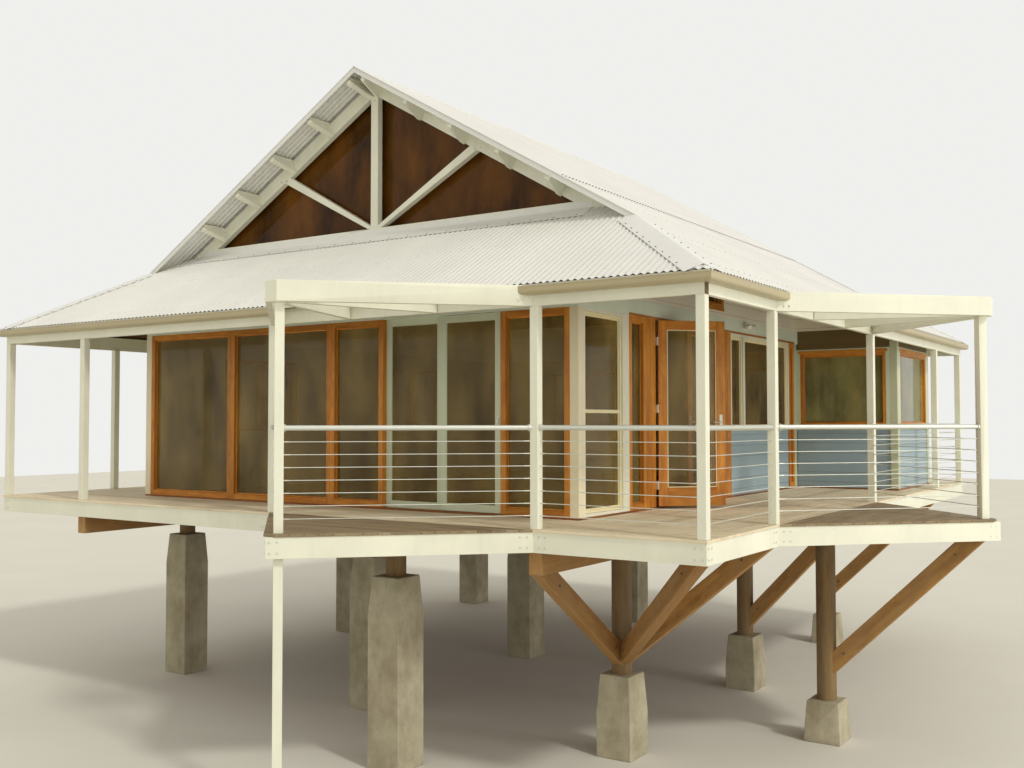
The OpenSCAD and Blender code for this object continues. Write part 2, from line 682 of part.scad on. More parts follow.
// The open truss under the verge, with a king post and two raking struts
truss_y = verge_set + verge_over;
half_span = ridge_in - skirt_top;
reach = 1620;
tie_h = 150;
king_w = 120;
strut_w = 110;
module truss_form() {
    top = ridge_in * slope + roof_base - roof_t - gap;
    low = top - half_span * slope;
    foot = gable_foot;
    translate([-ridge_in, truss_y + truss_t, 0]) rotate([90, 0, 0]) linear_extrude(truss_t) intersection() {
        union() {
            difference() {
                polygon([[-half_span, low], [0, top], [half_span, low], [half_span, 0], [-half_span, 0]]);
                polygon([[-half_span, low - chord_h], [0, top - chord_h], [half_span, low - chord_h], [half_span, -1], [-half_span, -1]]);
            }
            translate([-half_span, foot]) square([2 * half_span, tie_h]);
            translate([-king_w / 2, foot]) square([king_w, top - foot - chord_h / 2]);
            for (side = [-1, 1]) polygon([
                [0, foot + tie_h], [side * strut_w, foot + tie_h],
                [side * (reach + strut_w), top - (reach + strut_w) * slope - chord_h / 2],
                [side * reach, top - reach * slope - chord_h / 2]
            ]);
        }
        polygon([[-half_span, foot], [-half_span, low], [0, top], [half_span, low], [half_span, foot]]);
    }
}
module front_truss() color(cream) truss_form();
module back_truss() color(cream) translate([0, house_w, 0]) mirror([0, 1, 0]) truss_form();

half_gable = ridge_in - side_walk - wall_t - gap;
gable_t = 40;
gable_back = 60;
gable_y = truss_y + truss_t + gable_back;
gable_foot = roof_base + skirt_top * slope - roof_t;
module gable_form() intersection() {
    translate([-ridge_in - half_gable, gable_y, gable_foot]) cube([2 * half_gable, gable_t, ridge_z]);
    below_roof([90, 270], roof_t + gap);
}
module front_gable() color(cedar) gable_form();
module back_gable() color(cedar) translate([0, house_w, 0]) mirror([0, 1, 0]) gable_form();

// Tapered brackets under the verge, deep at the truss
outrigger_w = 70;
outrigger_h = 190;
outrigger_tip = 60;
outrigger_first = 140;
outrigger_step = 690;
outrigger_in = 30;
outrigger_long = verge_over - outrigger_in - gap;
module outrigger_row() for (side = [-1, 1], i = [0:4]) {
    a = outrigger_first + i * outrigger_step;
    translate([-ridge_in + side * a, verge_set + outrigger_in, ridge_z - a * slope - roof_t])
        rotate([0, side * roof_pitch, 0]) translate([-outrigger_w / 2, 0, -gap])
            rotate([90, 0, 90]) linear_extrude(outrigger_w)
                polygon([[0, 0], [0, -outrigger_tip], [outrigger_long, -outrigger_h], [outrigger_long, 0]]);
}
module outriggers() color(cream) {
    outrigger_row();
    translate([0, house_w, 0]) mirror([0, 1, 0]) outrigger_row();
}

// Folded caps that lie over the four hips
cap_t = 4;
cap_w = 190;
cap_in = 30;
module front_hip_cap() difference() {
    intersection() {
        below_roof([0, 90], -cap_t - gap);
        rotate(45) translate([-cap_w, cap_in * sqrt(2), 0]) cube([2 * cap_w, verge_set * sqrt(2), big]);
    }
    below_roof([0, 90], -gap);
    // Clear of the roof that stands over the skirt behind the verge
    block([-big, verge_set, 0], [0, big, big]);
}
module hip_caps() color(steel_white) for (x = [0, 1], y = [0, 1])
    translate([-x * house_w, y * house_w, 0]) mirror([x, 0, 0]) mirror([0, y, 0]) front_hip_cap();

// A folded apron at the top of each skirt, turned up against the truss
apron_w = 220;
apron_up = 70;
apron_in = skirt_top + (roof_t + 2 * apron_up) / slope;
module front_flashing() {
    at_truss = roof_base + truss_y * slope + gap;
    at_edge = at_truss - apron_w * slope;
    translate([-apron_in, 0, 0]) rotate([90, 0, -90]) linear_extrude(house_w - 2 * apron_in) mirror([1, 0])
        polygon([
            [truss_y - apron_w, at_edge], [truss_y - apron_w, at_edge + cap_t],
            [truss_y - gap - cap_t, at_truss + cap_t], [truss_y - gap - cap_t, at_truss + apron_up],
            [truss_y - gap, at_truss + apron_up], [truss_y - gap, at_truss]
        ]);
}
module gable_flashings() color(steel_white) {
    front_flashing();
    translate([0, house_w, 0]) mirror([0, 1, 0]) front_flashing();
}

place() {
    footings();
    poles();
    pole_braces();
    bearers();
    joists();
    deck_fascia();
    decking();
    front_bay_decking();
    right_bay_decking();
    house_floor();
    front_posts();
    right_posts();
    back_posts();
    left_posts();
    front_bay_post();
    right_bay_post();
    eaves_beams();
    front_pergola();
    right_pergola();
    gutters();
    front_railing();
    right_railing();
    back_railing();
    corner_posts();
    front_wall();
    right_wall();
    right_windows();
    lower_panels();
    back_wall();
    left_wall();
    side_bay_wall();
    lintels();
    upper_wall();
    front_glass();
    right_glass();
    window_glass();
    side_bay_glass();
    upper_glass();
    french_door_left();
    french_door_right();
    sliding_door();
    sliding_side_panel();
    door_hinges();
    front_roof();
    right_roof();
    back_roof();
    left_roof();
    ridge_cap();
    hip_caps();
    gable_flashings();
    front_truss();
    back_truss();
    front_gable();
    back_gable();
    outriggers();
}
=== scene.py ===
"""The looks of a timber stilt house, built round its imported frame.

Lengths are metres. House coordinates start at the near corner of the deck: the
house runs to -X and +Y from there, and Z is zero on top of the deck boards.
"""

import json
import math
import random

import bmesh
import bpy
from mathutils import Matrix, Vector


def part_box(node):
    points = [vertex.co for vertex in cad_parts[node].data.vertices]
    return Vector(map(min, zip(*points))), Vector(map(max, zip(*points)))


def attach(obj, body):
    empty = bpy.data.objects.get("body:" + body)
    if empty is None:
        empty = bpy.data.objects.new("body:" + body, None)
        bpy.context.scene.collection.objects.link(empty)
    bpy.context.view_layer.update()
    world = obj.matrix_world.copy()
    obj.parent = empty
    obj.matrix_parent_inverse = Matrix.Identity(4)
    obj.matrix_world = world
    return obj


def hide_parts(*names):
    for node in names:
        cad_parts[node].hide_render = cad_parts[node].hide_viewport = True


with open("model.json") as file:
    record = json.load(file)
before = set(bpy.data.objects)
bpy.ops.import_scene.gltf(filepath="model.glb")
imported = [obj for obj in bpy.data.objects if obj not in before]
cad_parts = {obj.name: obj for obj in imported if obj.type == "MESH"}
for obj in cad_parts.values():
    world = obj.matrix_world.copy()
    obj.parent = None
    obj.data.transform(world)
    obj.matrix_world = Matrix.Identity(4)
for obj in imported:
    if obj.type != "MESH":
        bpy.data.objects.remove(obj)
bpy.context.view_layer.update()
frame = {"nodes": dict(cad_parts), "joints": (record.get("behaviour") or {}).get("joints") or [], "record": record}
nodes = frame["nodes"]
rng = random.Random(4244)

# Sizes that the frame gives
deck_low, deck_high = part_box("decking")
HOME = Vector((deck_high.x, deck_low.y, deck_high.z))
SIDE = deck_high.x - deck_low.x
GRID = SIDE / 6
BOARD_T = deck_high.z - deck_low.z


def low(node):
    """The lowest corner of a node, in house coordinates."""
    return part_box(node)[0] - HOME


def high(node):
    """The highest corner of a node, in house coordinates."""
    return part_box(node)[1] - HOME


ROOF_T = 0.060
EAVE_OUT = high("right_roof").x
RIDGE_IN = SIDE / 2
RIDGE_Z = high("right_roof").z
SLOPE = (RIDGE_Z - low("right_roof").z - ROOF_T) / (RIDGE_IN + EAVE_OUT)
ROOF_BASE = RIDGE_Z - SLOPE * RIDGE_IN
SKIRT_TOP = high("front_roof").y
VERGE = low("ridge_cap").y
TRUSS_BACK = high("front_truss").y
TRUSS_Y = low("front_truss").y
TRUSS_FOOT = low("front_truss").z
BEAM_FOOT = low("eaves_beams").z
BEAM_TOP = high("eaves_beams").z
LINTEL_Z = low("lintels").z
FLOOR_Z = low("front_wall").z
FASCIA_Z = low("deck_fascia").z
BEARER_Z = low("bearers").z
NOSING = SIDE - high("deck_fascia").y
BAY_REACH = high("right_bay_decking").x
GUTTER_TOP = high("gutters").z
GUTTER_OUT = high("gutters").x
WALL_Y0 = low("front_wall").y
WALL_T = high("front_wall").y - WALL_Y0
WALL_X1 = high("right_wall").x
WALL_X0 = low("left_wall").x
WALL_Y1 = high("back_wall").y
SIDE_ROOM_X = high("side_bay_wall").x
SIDE_ROOM_Y = low("side_bay_wall").y
SIDES = ("front", "right", "back", "left")

# Sizes of the joinery
STILE = 0.070
BEAD = 0.014
GLASS_T = 0.008
FRONT_EDGES = (-2.010, -2.900, -3.750, -4.600, -5.450, -7.250, -8.890)
SLIDER_PANEL = 1
SILL_Z = 0.910
CEDAR_FRAMES = ((2.200, 2.630, FLOOR_Z), (7.550, 7.790, FLOOR_Z))
CEDAR_JAMBS = ((2.630, 2.880), (4.600, 5.210))
JAMB_BOARD_W = 0.125
PAINTED_FRAMES = (
    (1.160, 2.080, FLOOR_Z), (5.210, 5.700, SILL_Z), (5.700, 6.950, SILL_Z), (6.950, 7.550, SILL_Z),
)
MULLION = (2.080, 2.200)
MID_RAIL_Z = 1.130
MID_RAIL_H = 0.040
CLERE_GLAZED = (4.200, 4.970)
CLERE_BOARDED = ((2.400, 3.900), (4.970, 5.700), (6.000, 7.500))
CLERE_Z = (2.580, 3.000)
CLERE_STILE = 0.085
SLIM = 0.050
ROOM_INSET = 0.060
ROOM_HEAD_Z = 2.100
BACK_WINDOWS = (-7.600, -4.400)
LEFT_WINDOWS = (2.400, 6.200)
PLAIN_WINDOW = (1.500, 0.900, 2.000)


# Building meshes

SHARP_ANGLE = math.radians(50)
EASED_ANGLE = math.radians(40)
WASHER_T = 0.002
WASHER_WIDER = 1.7


def section(at, run, width, depth, up=(0, 0, 1)):
    """The corners of a timber where it is cut square to its run."""
    across = run.cross(Vector(up)).normalized() * width / 2
    rise = across.cross(run).normalized() * depth / 2
    return [at + across + rise, at - across + rise, at - across - rise, at + across - rise]


class Build:
    """Collects the solids of one piece, each with its own grain and shade."""

    def __init__(self, place=None):
        self.place = place or Matrix()
        self.points = []
        self.faces = []
        self.grain = []
        self.shade = []

    def add(self, points, faces, along):
        """Adds one solid whose grain runs along a direction."""
        first = len(self.points)
        axis = Vector(along).normalized()
        across = axis.cross(Vector((0, 0, 1)))
        if across.length < 0.1:
            across = Vector((0, 1, 0))
        across.normalize()
        up = across.cross(axis)
        shift = Vector([rng.uniform(0, 40) for _ in range(3)])
        shade = rng.random()
        for p in points:
            p = Vector(p)
            self.points.append(HOME + self.place @ p)
            self.grain.append(shift + Vector((p.dot(axis), p.dot(across), p.dot(up))))
            self.shade.append(shade)
        self.faces.extend([first + i for i in face] for face in faces)

    def loft(self, start, end, along):
        """A solid between two outlines that have as many corners."""
        n = len(start)
        faces = [list(range(n))[::-1], list(range(n, 2 * n))]
        faces += [[i, (i + 1) % n, n + (i + 1) % n, n + i] for i in range(n)]
        self.add(start + end, faces, along)

    def prism(self, outline, lift, along=None):
        """A flat outline pushed along one vector."""
        lift = Vector(lift)
        start = [Vector(p) for p in outline]
        self.loft(start, [p + lift for p in start], along or lift)

    def block(self, corner, opposite, along=None):
        """A box between two corners, with its grain along the longest side."""
        a = Vector(map(min, corner, opposite))
        b = Vector(map(max, corner, opposite))
        size = b - a
        longest = max(range(3), key=lambda i: size[i])
        axis = along or [1 if i == longest else 0 for i in range(3)]
        outline = [(a.x, a.y, a.z), (b.x, a.y, a.z), (b.x, b.y, a.z), (a.x, b.y, a.z)]
        self.prism(outline, (0, 0, size.z), axis)

    def beam(self, start, end, width, depth, up):
        """A straight timber between two points, centred on its line."""
        run = end - start
        self.prism(section(start, run, width, depth, up), run)

    def rod(self, start, end, radius, sides):
        """A round bar between two points."""
        start = Vector(start)
        run = Vector(end) - start
        turn = run.to_track_quat("Z", "Y").to_matrix()
        angles = [2 * math.pi * i / sides for i in range(sides)]
        outline = [start + turn @ Vector((radius * math.cos(a), radius * math.sin(a), 0)) for a in angles]
        self.prism(outline, run)

    def brace(self, foot, head, width, depth, start):
        """A raking timber, square at its foot and cut level at its top."""
        run = (head - foot).normalized()
        lower = section(foot + run * start, run, width, depth)
        upper = [p + run * ((head.z - p.z) / run.z) for p in lower]
        self.loft(lower, upper, run)

    def bolt(self, at, out, radius):
        """A hexagon head on a round washer, standing out of a face."""
        at = Vector(at)
        out = Vector(out).normalized()
        self.rod(at - out * WASHER_T, at + out * WASHER_T, radius * WASHER_WIDER, 14)
        self.rod(at, at + out * radius, radius, 6)


def new_object(name, data):
    """An object of the scene that shows a mesh, a lamp or a camera."""
    obj = bpy.data.objects.new(name, data)
    bpy.context.scene.collection.objects.link(obj)
    return obj


def piece(build, name, slot, body="house", replaces=(), bevel=0.0, look=None, smooth=False):
    """Turns what a Build holds into one object of the house."""
    mesh = bpy.data.meshes.new(name)
    mesh.from_pydata(build.points, [], build.faces)
    grain = mesh.attributes.new("grain", "FLOAT_VECTOR", "POINT")
    grain.data.foreach_set("vector", [c for g in build.grain for c in g])
    shade = mesh.attributes.new("shade", "FLOAT", "POINT")
    shade.data.foreach_set("value", build.shade)
    bm = bmesh.new()
    bm.from_mesh(mesh)
    bmesh.ops.recalc_face_normals(bm, faces=bm.faces)
    bm.to_mesh(mesh)
    bm.free()
    obj = new_object(name, mesh)
    mesh.materials.append(look or MATERIALS[slot])
    if smooth:
        mesh.shade_smooth()
        mesh.set_sharp_from_angle(angle=SHARP_ANGLE)
    if bevel:
        add_bevel(obj, bevel, 1)
    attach(obj, body)
    if replaces:
        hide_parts(*replaces)


def add_bevel(obj, width, segments):
    """Eases the sharp edges of an object."""
    edges = obj.modifiers.new("eased edges", "BEVEL")
    edges.width = width
    edges.segments = segments
    edges.limit_method = "ANGLE"
    edges.angle_limit = EASED_ANGLE
    edges.use_clamp_overlap = True


# Materials

def srgb(color, factor=1.0):
    """A colour as a picture shows it, made darker or lighter, in linear light."""
    scaled = [min(c * factor, 1.0) for c in color]
    return tuple(c / 12.92 if c <= 0.04045 else ((c + 0.055) / 1.055) ** 2.4 for c in scaled) + (1.0,)


class Nodes:
    """A node tree under construction."""

    def __init__(self, tree):
        self.tree = tree

    def join(self, value, socket):
        """Joins an output to a socket, or sets the socket to a value."""
        if isinstance(value, bpy.types.NodeSocket):
            self.tree.links.new(value, socket)
        else:
            socket.default_value = value

    def node(self, kind, inputs=None, **settings):
        """A node with its settings, and with a value or an output at each input given."""
        made = self.tree.nodes.new(kind)
        for key, value in settings.items():
            setattr(made, key, value)
        for key, value in (inputs or {}).items():
            self.join(value, made.inputs[key])
        return made

    def math(self, operation, a, b):
        return self.node("ShaderNodeMath", {0: a, 1: b}, operation=operation).outputs[0]

    def mix(self, factor, a, b, blend="MIX"):
        made = self.node("ShaderNodeMix", {0: factor, 6: a, 7: b}, data_type="RGBA", blend_type=blend)
        return made.outputs[2]


class Surface(Nodes):
    """A procedural material under construction."""

    def __init__(self, name, grain_axis="x"):
        self.material = bpy.data.materials.new(name)
        self.material.use_nodes = True
        super().__init__(self.material.node_tree)
        self.shader = self.tree.nodes["Principled BSDF"]
        self.turn = {"x": (0, 0, 0), "y": (0, 0, math.pi / 2), "z": (0, math.pi / 2, 0)}[grain_axis]

    def place(self, stretch=(1, 1, 1), source="object"):
        """Coordinates of the surface, stretched: of the object, or along the grain of its timbers."""
        if source == "grain":
            start = self.node("ShaderNodeAttribute", attribute_name="grain").outputs["Vector"]
        else:
            whole = self.node("ShaderNodeTexCoord").outputs["Object"]
            start = self.node("ShaderNodeMapping", {0: whole, "Rotation": self.turn}).outputs[0]
        return self.node("ShaderNodeMapping", {0: start, "Scale": stretch}).outputs[0]

    def shade(self):
        """The random shade of each timber or sheet, from 0 to 1."""
        return self.node("ShaderNodeAttribute", attribute_name="shade").outputs["Fac"]

    def noise(self, vector, scale, detail, rough=0.55):
        inputs = {"Vector": vector, "Scale": scale, "Detail": detail, "Roughness": rough}
        return self.node("ShaderNodeTexNoise", inputs).outputs["Fac"]

    def bands(self, vector, scale, distortion):
        inputs = {"Vector": vector, "Scale": scale, "Distortion": distortion}
        inputs |= {"Detail": 3.0, "Detail Scale": 1.4}
        return self.node("ShaderNodeTexWave", inputs, bands_direction="Y").outputs["Fac"]

    def levels(self, value, from_low, from_high, to_low=0.0, to_high=1.0):
        """Stretches a value from one range to another."""
        inputs = dict(enumerate((value, from_low, from_high, to_low, to_high)))
        return self.node("ShaderNodeMapRange", inputs).outputs[0]

    def cloud(self, vector, scale, detail, start, full, rough=0.55):
        """Noise that shows from one level on and is full at another."""
        return self.levels(self.noise(vector, scale, detail, rough), start, full)

    def stain(self, base, mask, strength, color):
        """Lays a colour over the base where a mask shows it."""
        return self.mix(self.math("MULTIPLY", mask, strength), base, srgb(color))

    def bump(self, height, strength, distance):
        bump = self.node("ShaderNodeBump", {"Strength": strength, "Distance": distance, "Height": height})
        self.join(bump.outputs[0], self.shader.inputs["Normal"])

    def finish(self, color, roughness, metallic=0.0, specular=0.5):
        self.join(color, self.shader.inputs["Base Color"])
        self.join(roughness, self.shader.inputs["Roughness"])
        self.shader.inputs["Metallic"].default_value = metallic
        self.shader.inputs["Specular IOR Level"].default_value = specular
        return self.material


def paint(name, color, wear=0.09, board_h=0.0, beyond=None):
    """Satin paint on dressed timber: faint grain, soft mottling and thin dirt, with laps if it is boarded.

    Beyond a level along one axis it may have a second colour.
    """
    s = Surface(name)
    flat = s.place()
    split = s.node("ShaderNodeSeparateXYZ", {0: flat}).outputs
    mottle = s.cloud(flat, 1.7, 4, 0.3, 0.7)
    base = s.mix(mottle, srgb(color, 0.97), srgb(color, 1.02))
    if beyond:
        axis, level, second = beyond
        base = s.mix(s.math("GREATER_THAN", split[axis], level), base, srgb(second))
    runs = s.cloud(s.place((5, 5, 0.5)), 2.2, 6, 0.52, 0.8, 0.7)
    spots = s.cloud(flat, 34, 3, 0.64, 0.8)
    base = s.stain(base, s.math("MAXIMUM", runs, spots), wear, (0.52, 0.50, 0.44))
    fibres = s.noise(s.place((60, 60, 3)), 4, 4, 0.7)
    relief = s.math("ADD", fibres, s.math("MULTIPLY", mottle, 0.4))
    strength, depth = 0.25, 0.001
    if board_h:
        lap = s.math("FRACT", s.math("DIVIDE", split[2], board_h), 0.0)
        base = s.mix(s.levels(lap, 0.0, 0.07, 0.55, 0.0), base, srgb(color, 0.45))
        relief = s.math("SUBTRACT", s.math("MULTIPLY", relief, 0.15), s.math("MULTIPLY", lap, 2.0))
        strength, depth = 0.8, 0.006
    s.bump(relief, strength, depth)
    return s.finish(base, s.levels(mottle, 0, 1, 0.39, 0.53))


def wood(
    name, dark, light, source="grain", axis="x", grey=None, rough=0.55, variety=0.22, relief=0.5, veins=0.35,
):
    """Timber with bands and fibres along its grain, its own shade on each board, and grey weathering."""
    s = Surface(name, axis)
    figure = s.bands(s.place((0.32, 1, 1), source), 9, 7)
    broad = s.noise(s.place((0.5, 6, 6), source), 1.6, 4)
    fibres = s.noise(s.place((1.6, 60, 60), source), 3.5, 5, 0.65)
    tone = s.math("ADD", s.math("MULTIPLY", figure, veins), s.math("MULTIPLY", broad, 1 - veins))
    base = s.mix(s.levels(tone, 0.25, 0.75), srgb(dark), srgb(light))
    base = s.mix(s.levels(fibres, 0.35, 0.75, 0.35, 0.0), base, srgb(dark, 0.55))
    if source == "grain":
        own = s.levels(s.shade(), 0, 1, 1 - variety, 1 + variety * 0.6)
        tint = s.node("ShaderNodeCombineColor", {0: own, 1: own, 2: own})
        base = s.mix(1.0, base, tint.outputs[0], "MULTIPLY")
    if grey:
        base = s.stain(base, s.cloud(s.place((0.8, 3, 3), source), 1.3, 5, 0.3, 0.72, 0.6), 0.75, grey)
    s.bump(s.math("ADD", fibres, s.math("MULTIPLY", figure, 0.3)), relief, 0.0015)
    return s.finish(base, s.levels(fibres, 0.2, 0.8, rough - 0.08, rough + 0.12), specular=0.4)


def coated_steel(name, color, dust=0.25):
    """Painted sheet steel with specks of dust and a faint tone of its own on each sheet."""
    s = Surface(name)
    flat = s.place()
    base = s.mix(s.cloud(flat, 0.9, 5, 0.3, 0.75, 0.6), srgb(color), srgb(color, 0.955))
    speck = s.cloud(flat, 11, 4, 0.55, 0.8, 0.7)
    base = s.stain(base, speck, dust, (0.66, 0.61, 0.50))
    base = s.mix(s.levels(s.shade(), 0, 1, 0.0, 0.05), base, srgb((0.6, 0.58, 0.5)))
    s.bump(s.noise(flat, 3.0, 2), 0.1, 0.004)
    return s.finish(base, s.levels(speck, 0, 1, 0.36, 0.56))


def galvanised(name, color):
    """Dull galvanised steel with a faint spangle."""
    s = Surface(name)
    spangle = s.node("ShaderNodeTexVoronoi", {"Scale": 160, "Vector": s.place()}).outputs["Color"]
    base = s.mix(s.levels(spangle, 0, 1, 0.0, 0.35), srgb(color), srgb(color, 0.8))
    rough = s.levels(s.noise(s.place(), 6, 4), 0.3, 0.7, 0.31, 0.50)
    return s.finish(base, rough, metallic=0.55)


def concrete(name):
    """Cast concrete with cloudy patches, air holes and earth stains."""
    s = Surface(name)
    flat = s.place()
    base = s.mix(s.cloud(flat, 3.1, 6, 0.3, 0.7, 0.65), srgb((0.62, 0.59, 0.50)), srgb((0.76, 0.73, 0.64)))
    holes = s.cloud(flat, 70, 2, 0.66, 0.74)
    base = s.stain(base, holes, 0.6, (0.33, 0.30, 0.24))
    base = s.stain(base, s.cloud(s.place((1, 1, 0.4)), 4, 5, 0.45, 0.8), 0.5, (0.46, 0.38, 0.26))
    s.bump(s.math("SUBTRACT", s.noise(flat, 24, 5, 0.7), holes), 0.7, 0.004)
    return s.finish(base, 0.9, specular=0.25)


def glass(name, dark, light, alpha, gloss):
    """A glossy pane, coloured with painted shade of the dim space behind it and cloudy painted reflections of
    trees; the real space shows through where alpha is low.
    """
    s = Surface(name)
    # Painted shade and painted reflections: warm tones of the dim space behind, clouded in upright patches like
    # reflected trees
    base = s.mix(s.cloud(s.place((1.6, 1.6, 0.7)), 1.1, 5, 0.3, 0.7, 0.6), srgb(dark), srgb(light))
    s.bump(s.noise(s.place(), 0.8, 1), 0.05, 0.01)
    s.shader.inputs["Alpha"].default_value = alpha
    s.shader.inputs["IOR"].default_value = 1.52
    s.shader.inputs["Coat Weight"].default_value = gloss / 2
    s.shader.inputs["Coat Roughness"].default_value = 0.02
    return s.finish(base, 0.05, specular=gloss)


CREAM = (0.93, 0.93, 0.86)
PALE_GREEN = (0.84, 0.87, 0.77)
BLUE_GREY = (0.62, 0.70, 0.74)
WALL_BOARD_H = 0.150
MATERIALS = {
    "concrete": concrete("concrete"),
    "round_pole": wood(
        "round pole", (0.40, 0.29, 0.16), (0.60, 0.48, 0.30), "object", "z", (0.55, 0.48, 0.36), 0.7,
        veins=0.12),
    "brace_timber": wood(
        "brace timber", (0.58, 0.38, 0.15), (0.80, 0.60, 0.32), grey=(0.62, 0.50, 0.34), rough=0.60,
        veins=0.2),
    "frame_timber": wood("frame timber", (0.34, 0.24, 0.14), (0.52, 0.38, 0.22), "object", rough=0.7),
    "cream_paint": paint("cream paint", CREAM),
    "green_paint": paint("pale green paint", PALE_GREEN),
    "panel_paint": paint("blue grey boards", BLUE_GREY, board_h=WALL_BOARD_H),
    "deck_boards": wood(
        "deck boards", (0.89, 0.80, 0.65), (1.00, 0.95, 0.83), grey=(0.96, 0.91, 0.81), rough=0.66,
        variety=0.14, veins=0.2),
    "bay_boards": wood(
        "bay boards", (0.47, 0.38, 0.27), (0.66, 0.57, 0.43), grey=(0.67, 0.61, 0.50), rough=0.68, veins=0.2),
    "floor_timber": wood("floor timber", (0.50, 0.27, 0.11), (0.70, 0.45, 0.22), "object", "y", rough=0.3),
    "cedar": wood("cedar", (0.74, 0.43, 0.10), (0.97, 0.67, 0.25), rough=0.40, relief=0.3, veins=0.15),
    # Gable glazing is coloured with the painted shade of the dim gable; window glass with painted shade of the
    # rooms behind and painted reflections
    "gable_timber": glass("gable glazing with painted shade", (0.20, 0.12, 0.03), (0.46, 0.29, 0.08), 1.0, 0.1),
    "clear_glass": glass("window glass with painted shade", (0.33, 0.24, 0.09), (0.72, 0.62, 0.36), 0.42, 0.25),
    "rail_steel": galvanised("galvanised steel", (0.88, 0.89, 0.85)),
    "gutter_steel": coated_steel("gutter steel", (0.73, 0.68, 0.54)),
    "roof_steel": coated_steel("roof steel", (0.93, 0.93, 0.915), dust=0.12),
}
BEAD_LOOK = paint("pale yellow paint", (0.95, 0.91, 0.75), wear=0.05)
BOARDED_LOOK = paint("cream boards", (0.98, 0.96, 0.89), wear=0.03, board_h=WALL_BOARD_H)
LAMP_LOOK = paint("lamp white", (0.99, 0.99, 0.96), wear=0.0)
LINING_LOOK = wood(
    "soffit boards", (0.36, 0.27, 0.14), (0.50, 0.39, 0.22), "object", "y", rough=0.5, veins=0.15)
SCREW_LOOK = galvanised("deck screws", (0.45, 0.40, 0.34))
# Dark screw heads, which at the end laps also stand in for painted shadow under the lapped edge
LAP_SHADOW_SCREW_LOOK = galvanised("dark screws and painted lap shadow", (0.22, 0.21, 0.19))

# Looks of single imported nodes. A painted one may turn another colour past a level on X, Y or Z
NODE_LOOKS = {
    "bearers": wood(
        "bearer timber", (0.60, 0.41, 0.18), (0.80, 0.60, 0.33), "object", "y", (0.64, 0.53, 0.37), 0.65,
        veins=0.15),
    "upper_wall": BOARDED_LOOK,
    "lintels": paint(
        "lintel paint", (0.90, 0.94, 0.87), wear=0.04,
        beyond=(0, HOME.x + WALL_X1 + 0.02, (0.46, 0.39, 0.22))),
    # Corner posts are painted lit cream near the front and a painted shaded green further back
    "corner_posts": paint(
        "corner post paint with painted light and shade", (0.95, 0.91, 0.79), beyond=(1, HOME.y + 2.0, (0.78, 0.80, 0.68))),
    "side_bay_wall": paint("side room paint", PALE_GREEN, beyond=(2, HOME.z + 2.165, (0.44, 0.37, 0.21))),
    # Side room glass carries painted reflections of trees; back and left window glass is painted with the shade of
    # the dim rooms
    "side_bay_glass": glass("glass with painted reflections", (0.30, 0.29, 0.13), (0.66, 0.64, 0.42), 0.9, 0.5),
    "window_glass": glass("glass with painted room shade", (0.36, 0.29, 0.16), (0.60, 0.51, 0.33), 0.85, 0.25),
}
EASED_NODES = {
    0.003: ["deck_fascia"],
    0.004: ["eaves_beams", "front_pergola", "right_pergola", "corner_posts", "lintels"],
    0.005: [
        "front_posts", "right_posts", "back_posts", "left_posts", "front_bay_post", "right_bay_post",
        "bearers", "front_truss", "back_truss", "outriggers",
    ],
    0.012: ["footings"],
}
SAME_POINT = 0.0001


def dress_cad_nodes():
    """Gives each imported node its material, and eases the edges of timbers."""
    slots = {part["node"]: part["material_slot"] for part in frame["record"]["subparts"]}
    for name, obj in nodes.items():
        obj.data.materials.clear()
        obj.data.materials.append(NODE_LOOKS.get(name) or MATERIALS[slots[name]])
    for width, names in EASED_NODES.items():
        for name in names:
            weld = nodes[name].modifiers.new("joined corners", "WELD")
            weld.merge_threshold = SAME_POINT
            add_bevel(nodes[name], width, 2)


# Roof

PITCH_W = 0.0762
WAVE_H = 0.017
WAVE_STEPS = 8
SHEET_RIBS = 10
SHEET_T = 0.0015
SHEET_DROP = 0.0012
MIN_LONG = 0.002
TUCK = 0.010
END_LAP = 2.34
LAP_LONG = 0.060
LAP_LIFT = 0.006
SCREW_ROWS = (0.12, 0.95, 1.75, 2.30, 3.10, 3.90, 4.70, 5.20)
SCREW_MARGIN = 0.2
LINING_T = 0.010
LINING_MARGIN = 0.2
VERGES = [(side, end, VERGE if end > 0 else SIDE - VERGE) for side in ("right", "left") for end in (1, -1)]


def roof_point(side, along, inward, lift=0.0):
    """A point of a roof plane, by how far it lies along the eave and in from it."""
    x, y = {
        "front": (-along, inward), "right": (-inward, along),
        "back": (-along, SIDE - inward), "left": (inward - SIDE, along),
    }[side]
    return Vector((x, y, ROOF_BASE + inward * SLOPE + lift))


def hip_limit(along):
    """How far a sheet reaches up to the hip."""
    return max(min(along, SIDE - along), MIN_LONG - EAVE_OUT)


def skirt_limit(along):
    """How far a skirt sheet reaches: up to the apron, and under the roof beside it."""
    under = ROOF_T / SLOPE + TUCK
    return max(VERGE, min(SKIRT_TOP - TUCK, min(along, SIDE - along) - under))


